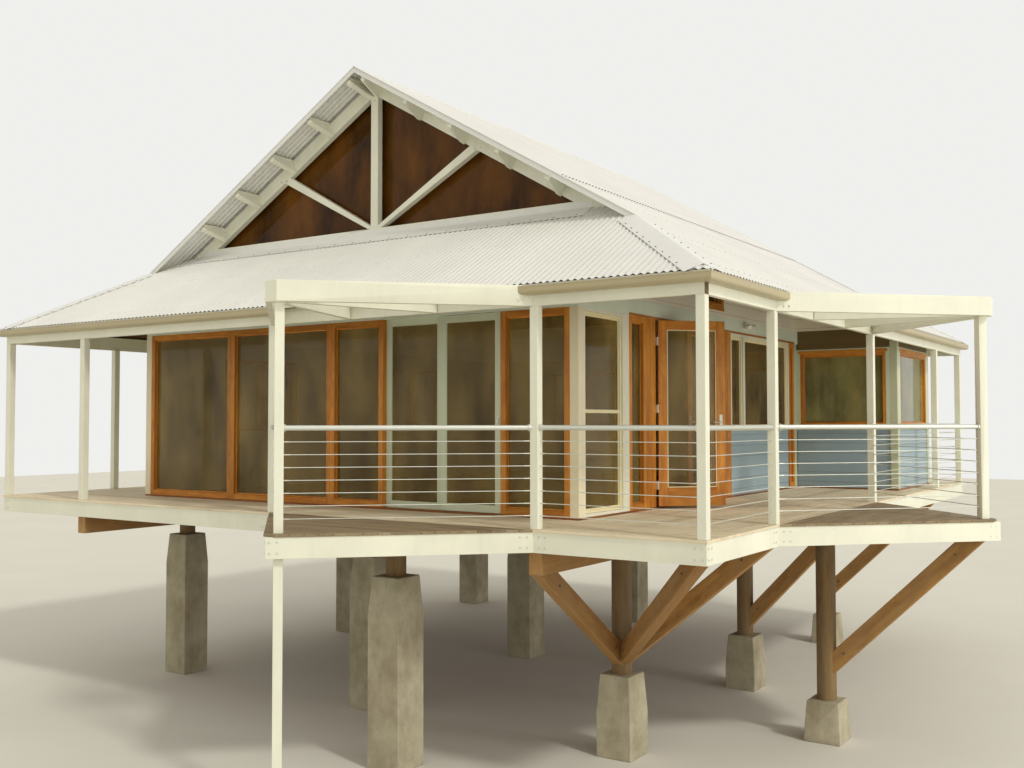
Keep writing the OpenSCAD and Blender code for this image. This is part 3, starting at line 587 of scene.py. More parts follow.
def corrugated(build, side, start, end, limit, foot=-EAVE_OUT, lift=0.0):
    """Corrugated sheets side by side, ribs up the slope, between two places on the eave."""
    u = start
    odd = 0
    while u < end - 0.001:
        stop = min(u + SHEET_RIBS * PITCH_W, end)
        columns = max(2, round((stop - u) / PITCH_W * WAVE_STEPS) + 1)
        points = []
        for i in range(columns + 1):
            # The last step lies over the next sheet
            v = min(u + (stop - u) * i / (columns - 1), end)
            wave = WAVE_H / 2 * (math.cos(2 * math.pi * v / PITCH_W) - 1) + lift - SHEET_DROP * odd
            reach = max(limit(v), foot + MIN_LONG)
            for z in (wave, wave - SHEET_T):
                points += [roof_point(side, v, foot, z), roof_point(side, v, reach, z)]
        faces = []
        for i in range(columns):
            a, b = 4 * i, 4 * i + 4
            faces += [[a, a + 1, b + 1, b], [a + 2, b + 2, b + 3, a + 3]]
            faces += [[a, b, b + 2, a + 2], [a + 1, a + 3, b + 3, b + 1]]
        last = 4 * columns
        faces += [[0, 2, 3, 1], [last, last + 1, last + 3, last + 2]]
        build.add(points, faces, roof_point(side, 0, 1) - roof_point(side, 0, 0))
        u = stop
        odd = 1 - odd


def roof_screws(build, side, start, end, limit):
    """Screw heads on washers on every second crest, in rows over the battens."""
    corner = roof_point(side, 0, 0)
    out = (corner - roof_point(side, 0, 1)).cross(roof_point(side, 1, 0) - corner)
    out = out.normalized() * (1 if out.z > 0 else -1)
    crest = math.ceil(start / PITCH_W / 2) * 2 * PITCH_W
    while crest < end:
        for row in SCREW_ROWS:
            if row < limit(crest) - SCREW_MARGIN:
                at = roof_point(side, crest, row)
                build.rod(at - out * 0.002, at + out * 0.001, 0.011, 8)
                build.rod(at, at + out * 0.006, 0.006, 6)
        crest += 2 * PITCH_W


def make_roofs():
    """The four roof planes: sheets over battens, a lining below, screws on the crests."""
    eave = [(-EAVE_OUT, -EAVE_OUT), (SIDE + EAVE_OUT, -EAVE_OUT), (SIDE - VERGE, VERGE)]
    corner = [(VERGE, VERGE)]
    skirt = [
        (SIDE - VERGE - LINING_MARGIN, VERGE), (SIDE - SKIRT_TOP - LINING_MARGIN, SKIRT_TOP),
        (SKIRT_TOP + LINING_MARGIN, SKIRT_TOP), (VERGE + LINING_MARGIN, VERGE),
    ]
    upper = [
        (TRUSS_BACK, VERGE), (SIDE - TRUSS_BACK, VERGE),
        (SIDE - TRUSS_BACK, RIDGE_IN), (TRUSS_BACK, RIDGE_IN),
    ]
    # The sheets between the verges with their foot and lift, the height they reach and the linings
    skirted = ([(skirt_limit, -EAVE_OUT, 0.0)], SKIRT_TOP, [eave + skirt + corner])
    lapped = [(lambda v: END_LAP + LAP_LONG, -EAVE_OUT, 0.0), (lambda v: RIDGE_IN, END_LAP, LAP_LIFT)]
    ridged = (lapped, RIDGE_IN, [eave + corner, upper])
    for side, (layers, top, linings) in zip(("front", "back", "right", "left"), [skirted] * 2 + [ridged] * 2):
        build = Build()
        corrugated(build, side, -EAVE_OUT, VERGE, hip_limit)
        for limit, foot, lift in layers:
            corrugated(build, side, VERGE, SIDE - VERGE, limit, foot, lift)
        corrugated(build, side, SIDE - VERGE, SIDE + EAVE_OUT, hip_limit)
        piece(build, side + "_roof_sheets", "roof_steel", replaces=[side + "_roof"], smooth=True)
        build = Build()
        roof_screws(build, side, 0, VERGE, hip_limit)
        roof_screws(build, side, VERGE, SIDE - VERGE, lambda v: top)
        roof_screws(build, side, SIDE - VERGE, SIDE, hip_limit)
        piece(build, side + "_roof_screws", "roof_steel")
        build = Build()
        for outline in linings:
            build.prism([roof_point(side, u, t, -ROOF_T) for u, t in outline], (0, 0, LINING_T))
        piece(build, side + "_soffit", "cream_paint", look=LINING_LOOK)


def make_roof_edges():
    """Closing boards at the eaves, battens under the verges and folded barge strips along them."""
    build = Build()
    front, back = 0.004 - EAVE_OUT, 0.016 - EAVE_OUT
    outline = ((-EAVE_OUT, front), (SIDE + EAVE_OUT, front), (SIDE - back, back), (back, back))
    height = ROOF_T - LINING_T - WAVE_H - 0.004
    for side in SIDES:
        corners = [roof_point(side, u, t, LINING_T - ROOF_T) for u, t in outline]
        build.prism(corners, (0, 0, height), (1, 0, 0))
    piece(build, "eave_boards", "cream_paint")

    build = Build()
    count, first, step = 5, 0.14, 0.69
    inner, outer, drop = 0.03, 0.55, -0.040
    for side, end, near in VERGES:
        for i in range(count):
            t = RIDGE_IN - first - step * i
            start = roof_point(side, near + end * inner, t, drop)
            stop = roof_point(side, near + end * outer, t, drop)
            build.beam(start, stop, 0.070, 0.034, start - roof_point(side, near, t, -1))
    piece(build, "verge_battens", "cream_paint")

    build = Build()
    foot = VERGE - 0.02
    # A leg down over the verge and a leg on the sheets: how wide each is, and its lower and upper face
    legs = ((0.004, -ROOF_T - 0.012, 0.003), (0.085, 0.0035, 0.006))
    roll_z, roll_r = 0.002, 0.007
    for side, end, near in VERGES:
        up_slope = roof_point(side, near, RIDGE_IN) - roof_point(side, near, foot)
        for width, z0, z1 in legs:
            far = near + end * width
            corners = ((near, z0), (far, z0), (far, z1), (near, z1))
            build.prism([roof_point(side, u, foot, z) for u, z in corners], up_slope)
        build.rod(roof_point(side, near, foot, roll_z), roof_point(side, near, RIDGE_IN, roll_z), roll_r, 10)
    piece(build, "barge_flashings", "roof_steel")


# Decks

DECK_W = 0.090
DECK_GAP = 0.005
JOIST_STEP = GRID / 4
HALF_BUTT = 0.0015
WALL_GAP = 0.003
BAY_JOINT = 0.002
SCREW_IN = 0.020
SCREW_END = 0.030
MIRROR = Matrix(((0, -1, 0, 0), (-1, 0, 0, 0), (0, 0, 1, 0), (0, 0, 0, 1)))


def deck_screw(screws, at):
    """A countersunk screw head, just proud of the board."""
    p = Vector(at)
    screws.rod(p - Vector((0, 0, 0.003)), p + Vector((0, 0, 0.0006)), 0.0042, 6)


def deck_rows(build, screws, corner, opposite, along):
    """Boards that fill a rectangle of the deck, in rows along X or Y, with staggered joints."""
    a = Vector(map(min, corner, opposite))
    b = Vector(map(max, corner, opposite))
    across = 1 - along
    rows = max(1, round((b[across] - a[across] + DECK_GAP) / (DECK_W + DECK_GAP)))
    step = (b[across] - a[across] + DECK_GAP) / rows
    for row in range(rows):
        left = a[across] + row * step
        cuts = [a[along]]
        place = a[along] + JOIST_STEP * rng.randint(3, 9)
        while place < b[along] - JOIST_STEP:
            cuts.append(place)
            place += JOIST_STEP * rng.randint(6, 11)
        cuts.append(b[along])
        for start, stop in zip(cuts, cuts[1:]):
            foot, top = [0, 0, -BOARD_T], [0, 0, -rng.uniform(0.0, 0.0012)]
            foot[along] = start + (HALF_BUTT if start > a[along] else 0)
            top[along] = stop - (HALF_BUTT if stop < b[along] else 0)
            foot[across], top[across] = left, left + step - DECK_GAP
            build.block(foot, top)
        spot = a[along] + SCREW_END
        while spot < b[along]:
            for edge in (SCREW_IN, step - DECK_GAP - SCREW_IN):
                p = [0, 0, 0]
                p[along], p[across] = spot, left + edge
                deck_screw(screws, p)
            spot += JOIST_STEP


def bay_rows(build, screws):
    """Boards of one triangular bay, parallel to the walk and cut along the fascia."""
    mid = -2 * GRID
    for row in range(int(BAY_REACH / (DECK_W + DECK_GAP))):
        y0 = BAY_JOINT + row * (DECK_W + DECK_GAP)
        y1 = min(y0 + DECK_W, BAY_REACH - 0.001)
        near, far = ((GRID - BAY_JOINT) * (1 - (y - BAY_JOINT) / (BAY_REACH - BAY_JOINT)) for y in (y0, y1))
        outline = [(mid - near, -y0), (mid + near, -y0), (mid + far, -y1), (mid - far, -y1)]
        build.prism([(x, y, -BOARD_T) for x, y in outline], (0, 0, BOARD_T), (1, 0, 0))
        spot = mid - math.floor(far / JOIST_STEP) * JOIST_STEP
        while spot < mid + far - SCREW_END:
            for edge in (y0 + SCREW_IN, y1 - SCREW_IN):
                deck_screw(screws, (spot, -edge, 0))
            spot += JOIST_STEP


def make_decks():
    """The boards of the walks and the bays, with their screws."""
    build, screws = Build(), Build()
    for corner, opposite, along in (
        ((-SIDE, 0), (0, WALL_Y0 - WALL_GAP), 0),
        ((WALL_X1 + WALL_GAP, WALL_Y0), (0, SIDE_ROOM_Y - WALL_GAP), 1),
        ((SIDE_ROOM_X + WALL_GAP, SIDE_ROOM_Y), (0, WALL_Y1), 1),
        ((-SIDE, WALL_Y1 + WALL_GAP), (0, SIDE), 0),
        ((-SIDE, WALL_Y0), (WALL_X0 - WALL_GAP, WALL_Y1), 1),
    ):
        deck_rows(build, screws, corner, opposite, along)
    piece(build, "walk_boards", "deck_boards", replaces=["decking"], bevel=0.003)
    piece(screws, "walk_screws", "rail_steel", look=SCREW_LOOK)
    for name, place in (("front_bay", Matrix()), ("right_bay", MIRROR)):
        build, screws = Build(place), Build(place)
        bay_rows(build, screws)
        piece(build, name + "_boards", "bay_boards", replaces=[name + "_decking"], bevel=0.003)
        piece(screws, name + "_screws", "rail_steel", look=SCREW_LOOK)


# Windows and doors

def sash(frames, beads, panel, thick, stile=STILE, head=STILE, foot=STILE, back=0.0, bead_h=BEAD):
    """Stiles, rails and glazing beads of one frame, given by its two ends, its foot and its top."""
    x0, x1, z0, z1 = panel
    y0, y1 = back, back + thick
    frames.block((x0, y0, z0), (x0 + stile, y1, z1))
    frames.block((x1 - stile, y0, z0), (x1, y1, z1))
    frames.block((x0 + stile, y0, z1 - head), (x1 - stile, y1, z1))
    frames.block((x0 + stile, y0, z0), (x1 - stile, y1, z0 + foot))
    a, b, c, d = x0 + stile, x1 - stile, z0 + foot, z1 - head
    middle = (y0 + y1) / 2
    for side in (-1, 1):
        near = middle + side * (GLASS_T / 2 + 0.0005)
        far = near + side * bead_h
        beads.block((a, near, c), (a + bead_h, far, d))
        beads.block((b - bead_h, near, c), (b, far, d))
        beads.block((a + bead_h, near, c), (b - bead_h, far, c + bead_h))
        beads.block((a + bead_h, near, d - bead_h), (b - bead_h, far, d))


def pane(panes, x0, x1, z0, z1, middle):
    """The glass of one frame."""
    panes.block((x0, middle - GLASS_T / 2, z0), (x1, middle + GLASS_T / 2, z1))


def wall_place(x, y, turn):
    """Where a wall stands: its local X runs along its outer face and its local Y goes inward."""
    return Matrix.Translation((x, y, 0)) @ Matrix.Rotation(math.radians(turn), 4, "Z")


FRONT_WALL = wall_place(0, WALL_Y0, 0)
RIGHT_WALL = wall_place(WALL_X1, 0, 90)
BACK_WALL = wall_place(0, WALL_Y1, 180)
LEFT_WALL = wall_place(WALL_X0, 0, -90)
ROOM_FRONT = wall_place(0, SIDE_ROOM_Y, 0)
ROOM_SIDE = wall_place(SIDE_ROOM_X, 0, 90)


def make_front_wall():
    """The fixed cedar frames of the front wall, on both sides of the sliding door."""
    frames, beads = Build(FRONT_WALL), Build(FRONT_WALL)
    for i in range(len(FRONT_EDGES) - 1):
        if i not in (SLIDER_PANEL, SLIDER_PANEL + 1):
            sash(frames, beads, (FRONT_EDGES[i + 1], FRONT_EDGES[i], FLOOR_Z, LINTEL_Z), WALL_T)
    piece(frames, "front_frames", "cedar", replaces=["front_wall"], bevel=0.003)
    piece(beads, "front_beads", "cedar", bevel=0.002)


def make_right_wall():
    """Cedar frames, boarded jambs and painted windows of the right wall."""
    frames, beads = Build(RIGHT_WALL), Build(RIGHT_WALL)
    for y0, y1, z0 in CEDAR_FRAMES:
        sash(frames, beads, (y0, y1, z0, LINTEL_Z), WALL_T)
    for y0, y1 in CEDAR_JAMBS:
        # Upright boards side by side, with a fine joint between them
        count = round((y1 - y0) / JAMB_BOARD_W)
        step = (y1 - y0) / count
        for i in range(count):
            frames.block((y0 + i * step + 0.001, 0, FLOOR_Z), (y0 + (i + 1) * step - 0.001, WALL_T, LINTEL_Z))
    frames.block((CEDAR_FRAMES[0][0], -0.010, LINTEL_Z), (CEDAR_FRAMES[1][1], 0, LINTEL_Z + 0.028))
    piece(frames, "right_cedar_frames", "cedar", replaces=["right_wall"], bevel=0.003)
    piece(beads, "right_cedar_beads", "cedar", bevel=0.002)
    frames, beads, sashes = (Build(RIGHT_WALL) for _ in range(3))
    slim = STILE / 2 - 0.001
    inset = slim + 0.002
    for y0, y1, z0 in PAINTED_FRAMES:
        frames.block((y0, 0, z0), (y0 + slim, WALL_T, LINTEL_Z))
        frames.block((y1 - slim, 0, z0), (y1, WALL_T, LINTEL_Z))
        frames.block((y0 + slim, 0, z0), (y1 - slim, WALL_T, z0 + slim))
        frames.block((y0 + slim, 0, LINTEL_Z - slim), (y1 - slim, WALL_T, LINTEL_Z))
        inner = (y0 + inset, y1 - inset, z0 + inset, LINTEL_Z - inset)
        sash(sashes, beads, inner, WALL_T - 0.040, slim, slim, slim, back=0.020)
    y0, y1, _ = PAINTED_FRAMES[0]
    rail_top = MID_RAIL_Z + MID_RAIL_H
    sashes.block((y0 + STILE, WALL_T / 4, MID_RAIL_Z), (y1 - STILE, WALL_T / 2 - GLASS_T, rail_top))
    frames.block((MULLION[0], 0, FLOOR_Z), (MULLION[1], WALL_T, LINTEL_Z))
    piece(frames, "right_painted_frames", "cream_paint", replaces=["right_windows"], bevel=0.003)
    piece(sashes, "right_painted_sashes", "cream_paint", bevel=0.003, look=BEAD_LOOK)
    piece(beads, "right_painted_beads", "cream_paint", bevel=0.002, look=BEAD_LOOK)


def sill(frames, a, b, top):
    """A sill that stands out under a window and past its ends."""
    frames.block((a - 0.030, -0.028, top - 0.034), (b + 0.030, 0, top))


def make_other_windows():
    """Frames in the openings of the clerestory, the side room and the plain walls."""
    frames, beads, boards = (Build(RIGHT_WALL) for _ in range(3))
    y0, y1 = CLERE_GLAZED
    foot, head = CLERE_Z
    sash(frames, beads, (y0, y1, foot, head), WALL_T, CLERE_STILE, SLIM, SLIM, back=-0.004)
    frames.block((y0, -0.010, foot - 0.050), (y1, -0.0005, foot + 0.002))
    for y0, y1 in CLERE_BOARDED:
        boards.block((y0, 0.001, foot), (y1, 0.021, head))
    piece(frames, "clerestory_frame", "cedar", bevel=0.003)
    piece(beads, "clerestory_beads", "cedar", bevel=0.002)
    piece(boards, "clerestory_boards", "cream_paint", look=BOARDED_LOOK)
    foot = SILL_Z + ROOM_INSET
    for name, place, a, b in (
        ("room_front", ROOM_FRONT, WALL_X1 + ROOM_INSET, SIDE_ROOM_X - WALL_T - ROOM_INSET),
        ("room_side", ROOM_SIDE, SIDE_ROOM_Y + WALL_T + ROOM_INSET, WALL_Y1 - WALL_T - ROOM_INSET),
    ):
        frames, beads = Build(place), Build(place)
        sash(frames, beads, (a, b, foot, ROOM_HEAD_Z), WALL_T, SLIM, SLIM, SLIM, back=0.004)
        sill(frames, a, b, foot)
        frames.block((a - 0.030, -0.010, ROOM_HEAD_Z), (b + 0.030, 0, ROOM_HEAD_Z + 0.045))
        piece(frames, name + "_frame", "cedar", bevel=0.003)
        piece(beads, name + "_beads", "cedar", bevel=0.002)
    width, foot, head = PLAIN_WINDOW
    for name, place, starts, back in (
        ("back", BACK_WALL, BACK_WINDOWS, -0.004), ("left", LEFT_WALL, LEFT_WINDOWS, 0.004),
    ):
        frames, beads = Build(place), Build(place)
        for start in starts:
            a, b = -start - width, -start
            middle = (a + b) / 2
            for x0, x1 in ((a, middle), (middle, b)):
                sash(frames, beads, (x0, x1, foot, head), WALL_T, SLIM, SLIM, SLIM, back=back)
            sill(frames, a, b, foot)
        piece(frames, name + "_window_frames", "cedar", bevel=0.003)
        piece(beads, name + "_window_beads", "cedar", bevel=0.002)


JOINTS = {joint["name"]: joint for joint in frame["joints"]}
HINGE_OFF = 0.0073
LEAF_T = 0.040
LEAF_STILE = 0.110
LEAF_FOOT = 0.220
HANDLE_Z = 1.0
SLIDER_STILE = 0.075
LEAVES = (
    ("left_leaf", "french_left_swing", 1, "french_door_left", math.radians(45)),
    ("right_leaf", "french_right_swing", -1, "french_door_right", 0.0),
)


def make_french_doors():
    """Both hung leaves as they stand at rest, the left one half open."""
    for body, joint, flip, node, opened in LEAVES:
        box_low, box_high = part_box(node)
        reach = box_high - box_low
        height = reach.z
        # The leaf's length, from how far it reaches in plan at its open angle
        sine, cosine = math.sin(opened), math.cos(opened)
        long = reach.x * sine + reach.y * cosine - 2 * LEAF_T * sine * cosine
        axis = Vector(JOINTS[joint]["pos_m"]) - HOME
        place = Matrix.Translation((axis.x, axis.y, box_low.z - HOME.z)) @ Matrix.Diagonal((1, flip, 1, 1))
        place = place @ Matrix.Rotation(math.pi / 2 - opened, 4, "Z") @ Matrix.Translation((HINGE_OFF, 0, 0))
        frames, beads, panes, metal = (Build(place) for _ in range(4))
        sash(frames, beads, (0, long, 0, height), LEAF_T, LEAF_STILE, LEAF_STILE, LEAF_FOOT, bead_h=0.012)
        pane(panes, LEAF_STILE, long - LEAF_STILE, LEAF_FOOT, height - LEAF_STILE, LEAF_T / 2)
        door_handle(metal, long - LEAF_STILE / 2, HANDLE_Z)
        piece(frames, node + "_frame", "cedar", body, [node], 0.003)
        piece(beads, node + "_beads", "cedar", body, bevel=0.002, look=BEAD_LOOK)
        piece(panes, node + "_pane", "clear_glass", body)
        piece(metal, node + "_handle", "rail_steel", body)


def door_handle(metal, x, z):
    """A lever on a long plate, on both faces of a leaf."""
    for face, out in ((0.0, -1), (LEAF_T, 1)):
        lever = face + out * 0.026
        metal.block((x - 0.018, face, z - 0.09), (x + 0.018, face + out * 0.004, z + 0.09))
        metal.rod((x, face, z), (x, face + out * 0.030, z), 0.009, 14)
        metal.rod((x + 0.006, lever, z), (x - 0.105, lever, z), 0.007, 12)


def make_sliding_door():
    """The sliding door with its grip, and the fixed panel beside it."""
    stile = SLIDER_STILE
    for node, body in (("sliding_door", "slider"), ("sliding_side_panel", "house")):
        a, b = low(node), high(node)
        thick = b.y - a.y
        frames, beads, panes = (Build(Matrix.Translation((0, a.y, 0))) for _ in range(3))
        sash(frames, beads, (a.x, b.x, a.z, b.z), thick, stile, stile, stile, bead_h=0.010)
        pane(panes, a.x + stile, b.x - stile, a.z + stile, b.z - stile, thick / 2)
        piece(frames, node + "_frame", "green_paint", body, [node], 0.002)
        piece(beads, node + "_beads", "green_paint", body, bevel=0.0015)
        piece(panes, node + "_pane", "clear_glass", body)
    grip = Build()
    x, y = high("sliding_door").x - stile / 2, low("sliding_door").y
    grip.block((x - 0.014, y - 0.003, 0.92), (x + 0.014, y + 0.001, 1.10))
    grip.block((x - 0.008, y - 0.026, 0.94), (x + 0.008, y - 0.018, 1.08))
    for z in (0.95, 1.07):
        grip.rod((x, y, z), (x, y - 0.020, z), 0.005, 10)
    piece(grip, "sliding_door_grip", "rail_steel", "slider", bevel=0.002)


# Fittings

DECK_EDGE = [
    (0, 0), (0, GRID), (BAY_REACH, 2 * GRID), (0, 3 * GRID), (0, SIDE), (-SIDE, SIDE),
    (-SIDE, 0), (-3 * GRID, 0), (-2 * GRID, -BAY_REACH), (-GRID, 0),
]


def on_edge(a, b, along, inset, z):
    """A point on the outer face of a board along an edge of the deck, and the way it faces."""
    a, b = Vector(a), Vector(b)
    run = (b - a).normalized()
    inward = Vector((-run.y, run.x))
    at = a + run * along + inward * inset
    return Vector((at.x, at.y, z)), Vector((-inward.x, -inward.y, 0))


def make_bolts():
    """Bolt heads at the corners of the deck, the pergolas and the trusses."""
    build = Build()
    small, large = 0.007, 0.009
    for a, b in zip(DECK_EDGE, DECK_EDGE[1:] + DECK_EDGE[:1]):
        long = (Vector(b) - Vector(a)).length
        for along in (0.055, 0.125, long - 0.125, long - 0.055):
            for z in (FASCIA_Z + 0.05, FASCIA_Z + 0.15):
                build.bolt(*on_edge(a, b, along, NOSING, z), small)
    # Both edges of each bay, from the walk to the tip, with a minus for those that run back along the outline
    for a, b, facing in ((9, 8, -1), (7, 8, 1), (1, 2, 1), (3, 2, -1)):
        for along in (0.075, 0.135):
            at, out = on_edge(DECK_EDGE[a], DECK_EDGE[b], along, 0, BEAM_FOOT + 0.055)
            build.bolt(at, out * facing, small)
    # The foot and the head of the king post, then the rafters
    spots = [(0.0, TRUSS_FOOT + up) for up in (0.045, 0.105)]
    spots += [(0.0, RIDGE_Z - down) for down in (0.26, 0.34)]
    spots += [(aside, RIDGE_Z - 1.20) for aside in (-1.60, -1.70, 1.60, 1.70)]
    for y, out in ((TRUSS_Y, -1), (SIDE - TRUSS_Y, 1)):
        for aside, z in spots:
            build.bolt((aside - RIDGE_IN, y, z), (0, out, 0), large)
    piece(build, "bolts", "rail_steel")


# Each brace: its foot on a pole, its head, and how far from the pole it starts
GROUND = -HOME.z
NEAR_POLE = (-GRID, GRID, GROUND + 1.040)
EDGE_IN = 0.2
BRACES = (
    (NEAR_POLE, (-GRID, EDGE_IN, BEARER_Z), 0.0),
    (NEAR_POLE, (-EDGE_IN, GRID, FASCIA_Z), 0.0),
    (NEAR_POLE, (-EDGE_IN, EDGE_IN, FASCIA_Z), 0.17),
    ((-GRID, 3 * GRID, GROUND + 0.870), (-0.4, 3 * GRID, FASCIA_Z), 0.0),
    ((-GRID, 5 * GRID, GROUND + 0.810), (-EDGE_IN, 5 * GRID, FASCIA_Z), 0.0),
    ((-0.11, 2 * GRID, GROUND + 0.800), (1.48, 2 * GRID, FASCIA_Z), 0.0),
)
BRACE_W = 0.120
BRACE_H = 0.190
BRACE_BOLT_R = 0.009


def make_braces():
    """The raking braces, with a bolt through each side near its foot and its head."""
    build, bolts = Build(), Build()
    for foot, head, start in BRACES:
        foot, head = Vector(foot), Vector(head)
        build.brace(foot, head, BRACE_W, BRACE_H, start)
        run = (head - foot).normalized()
        across = run.cross(Vector((0, 0, 1))).normalized()
        for along in (0.30, (head - foot).length - 0.24):
            at = foot + run * along
            for side in (-1, 1):
                bolts.bolt(at + across * side * BRACE_W / 2, across * side, BRACE_BOLT_R)
    piece(build, "braces", "brace_timber", replaces=["pole_braces"], bevel=0.006)
    piece(bolts, "brace_bolts", "rail_steel", look=SCREW_LOOK)


# Railing lines as they run from post to post
POST_HALF = 0.045
POST_IN = NOSING + POST_HALF
TIP_IN = BAY_REACH - 0.190
RAIL_Z = high("front_railing").z - 0.025
BAY_LINE = [(-POST_IN, POST_IN), (-GRID, POST_IN), (-2 * GRID, -TIP_IN), (-3 * GRID, POST_IN)]
# Each end on a post: its height, how far it reaches, its radius and its sides
RAIL_ENDS = [(RAIL_Z, 0.014, 0.036, 20)] + [(0.130 + 0.120 * i, 0.055, 0.0058, 8) for i in range(7)]


def make_rail_ends():
    """Flanges where the handrail meets a post, and tensioners at the ends of the wires."""
    mirror = [(-y, -x) for x, y in BAY_LINE]
    far = [(-POST_IN, 5 * GRID), (-POST_IN, SIDE - POST_IN)]
    back = [(x, SIDE - POST_IN) for x in (-POST_IN, -GRID, -3 * GRID)]
    build = Build()
    for line in (BAY_LINE, mirror, far, back):
        for a, b in zip(line, line[1:]):
            for start, stop in ((a, b), (b, a)):
                start = Vector(start)
                way = (Vector(stop) - start).normalized()
                # The post at the tip of a bay stands outside the deck, turned to its rails
                tip = start.x > 0 or start.y < 0
                reach = POST_HALF if tip else POST_HALF / max(abs(way.x), abs(way.y))
                face = start + way * (reach + 0.002)
                for z, long, radius, sides in RAIL_ENDS:
                    end = face + way * long
                    build.rod((face.x, face.y, z), (end.x, end.y, z), radius, sides)
    piece(build, "rail_ends", "rail_steel")


TURNED_SIDES = (
    (Matrix(), True),
    (MIRROR, True),
    (Matrix.Translation((0, SIDE, 0)) @ Matrix.Diagonal((1, -1, 1, 1)), False),
    (Matrix.Translation((-SIDE, 0, 0)) @ Matrix.Diagonal((-1, 1, 1, 1)) @ MIRROR, False),
)
GUTTER_H = 0.085
GUTTER_SHEET = 0.003
GUTTER_ROUND = 0.036
BAY_LEAN = GRID / (BAY_REACH + NOSING)
STRAPS = 15
STRAP_FIRST = 0.35
STRAP_STEP = 0.72
STRAP_HALF = 0.011


def gutter_bend(inset):
    """The rounded lower front edge of a gutter, as depths and heights."""
    y0, z0 = GUTTER_ROUND - GUTTER_OUT, GUTTER_TOP - GUTTER_H + GUTTER_ROUND
    reach = GUTTER_ROUND - inset
    angles = [i * math.pi / 18 for i in range(10)]
    return [(y0 - reach * math.sin(a), z0 - reach * math.cos(a)) for a in angles]


def mitred(build, outline, start, end):
    """A section drawn out along an eave between two slanting ends."""
    build.loft([(start(y), y, z) for y, z in outline], [(end(y), y, z) for y, z in outline], (1, 0, 0))


def make_gutters():
    """Gutters mitred at the corners and against the pergolas, with a bead, straps and stop ends."""
    back, foot, top = NOSING - 0.0005, GUTTER_TOP - GUTTER_H, GUTTER_TOP
    behind = top - 0.024
    s = GUTTER_SHEET
    plate = [(back, behind), (back, foot)] + gutter_bend(0) + [(-GUTTER_OUT, top)]
    trough = plate + [(s - GUTTER_OUT, top)] + gutter_bend(s)[::-1]
    trough += [(back - s, foot + s), (back - s, behind)]
    bead_y, bead_z, bead_r = 0.006 - GUTTER_OUT, top - 0.008, 0.009

    def near_corner(y):
        return -y

    def far_corner(y):
        return y - SIDE

    def at_bay(y):
        return -GRID - (NOSING - y) * BAY_LEAN + s

    def past_bay(y):
        return -3 * GRID + (NOSING - y) * BAY_LEAN - s

    steel, straps = Build(), Build()
    for place, bay in TURNED_SIDES:
        steel.place = straps.place = place
        runs = ((near_corner, at_bay), (past_bay, far_corner)) if bay else ((near_corner, far_corner),)
        for start, end in runs:
            mitred(steel, trough, start, end)
            steel.rod((start(bead_y), bead_y, bead_z), (end(bead_y), bead_y, bead_z), bead_r, 12)
        if bay:
            mitred(steel, plate, at_bay, lambda y: at_bay(y) - s)
            mitred(steel, plate, past_bay, lambda y: past_bay(y) + s)
        for i in range(STRAPS):
            x = -STRAP_FIRST - i * STRAP_STEP
            if not bay or x > at_bay(0) or x < past_bay(0):
                corner = (x - STRAP_HALF, 0.002 - GUTTER_OUT, top - 0.003)
                straps.block(corner, (x + STRAP_HALF, -0.040, top - 0.001))
    piece(steel, "gutter_runs", "gutter_steel", replaces=["gutters"])
    piece(straps, "gutter_straps", "rail_steel")


def make_roof_fixings():
    """Screw heads along the hip caps, the ridge cap, the end laps and the aprons, and a roll on the ridge; the
    dark end-lap heads, one on every crest, also paint the shadow under the lapped edge.
    """
    dark, pale = Build(), Build()
    hip_screws, hip_first, hip_step, hip_aside = 9, 0.20, 0.135, 0.115
    ridge_step, apron_step = 0.152, 0.305
    flat_lift, ridge_lift, lap_lift = 0.0046, 0.0125, 0.005

    def screw(holder, side, along, inward, lift, radius=0.008):
        at = roof_point(side, along, inward, lift)
        holder.rod(at, at + Vector((0, 0, 0.005)), radius, 6)

    for i in range(hip_screws):
        t = hip_first + hip_step * i
        for side in SIDES:
            for along in (t + hip_aside, SIDE - t - hip_aside):
                screw(dark, side, along, t - hip_aside, flat_lift)
    for i in range(int((SIDE - 2 * VERGE) / ridge_step)):
        for side in ("right", "left"):
            screw(pale, side, VERGE + 0.10 + i * ridge_step, RIDGE_IN - 0.155, ridge_lift)
    # Dark heads on every crest just above the end lap: screws, and a painted shadow line under the lapped sheet
    # edge
    for crest in range(math.ceil(VERGE / PITCH_W) + 1, int((SIDE - VERGE) / PITCH_W)):
        for side in ("right", "left"):
            screw(dark, side, crest * PITCH_W, END_LAP + 0.035, lap_lift, 0.013)
    first = low("gable_flashings").x + SIDE + 0.10
    for i in range(int((SIDE - 2 * first) / apron_step)):
        for side in ("front", "back"):
            screw(dark, side, first + apron_step * i, TRUSS_Y - 0.195, flat_lift)
    piece(dark, "cap_screws_and_lap_shadow", "rail_steel", look=LAP_SHADOW_SCREW_LOOK)
    piece(pale, "ridge_screws", "roof_steel")
    build = Build()
    roll_z, roll_r = RIDGE_Z - 0.002, 0.014
    build.rod((-RIDGE_IN, VERGE, roll_z), (-RIDGE_IN, SIDE - VERGE, roll_z), roll_r, 14)
    piece(build, "ridge_roll", "roof_steel")


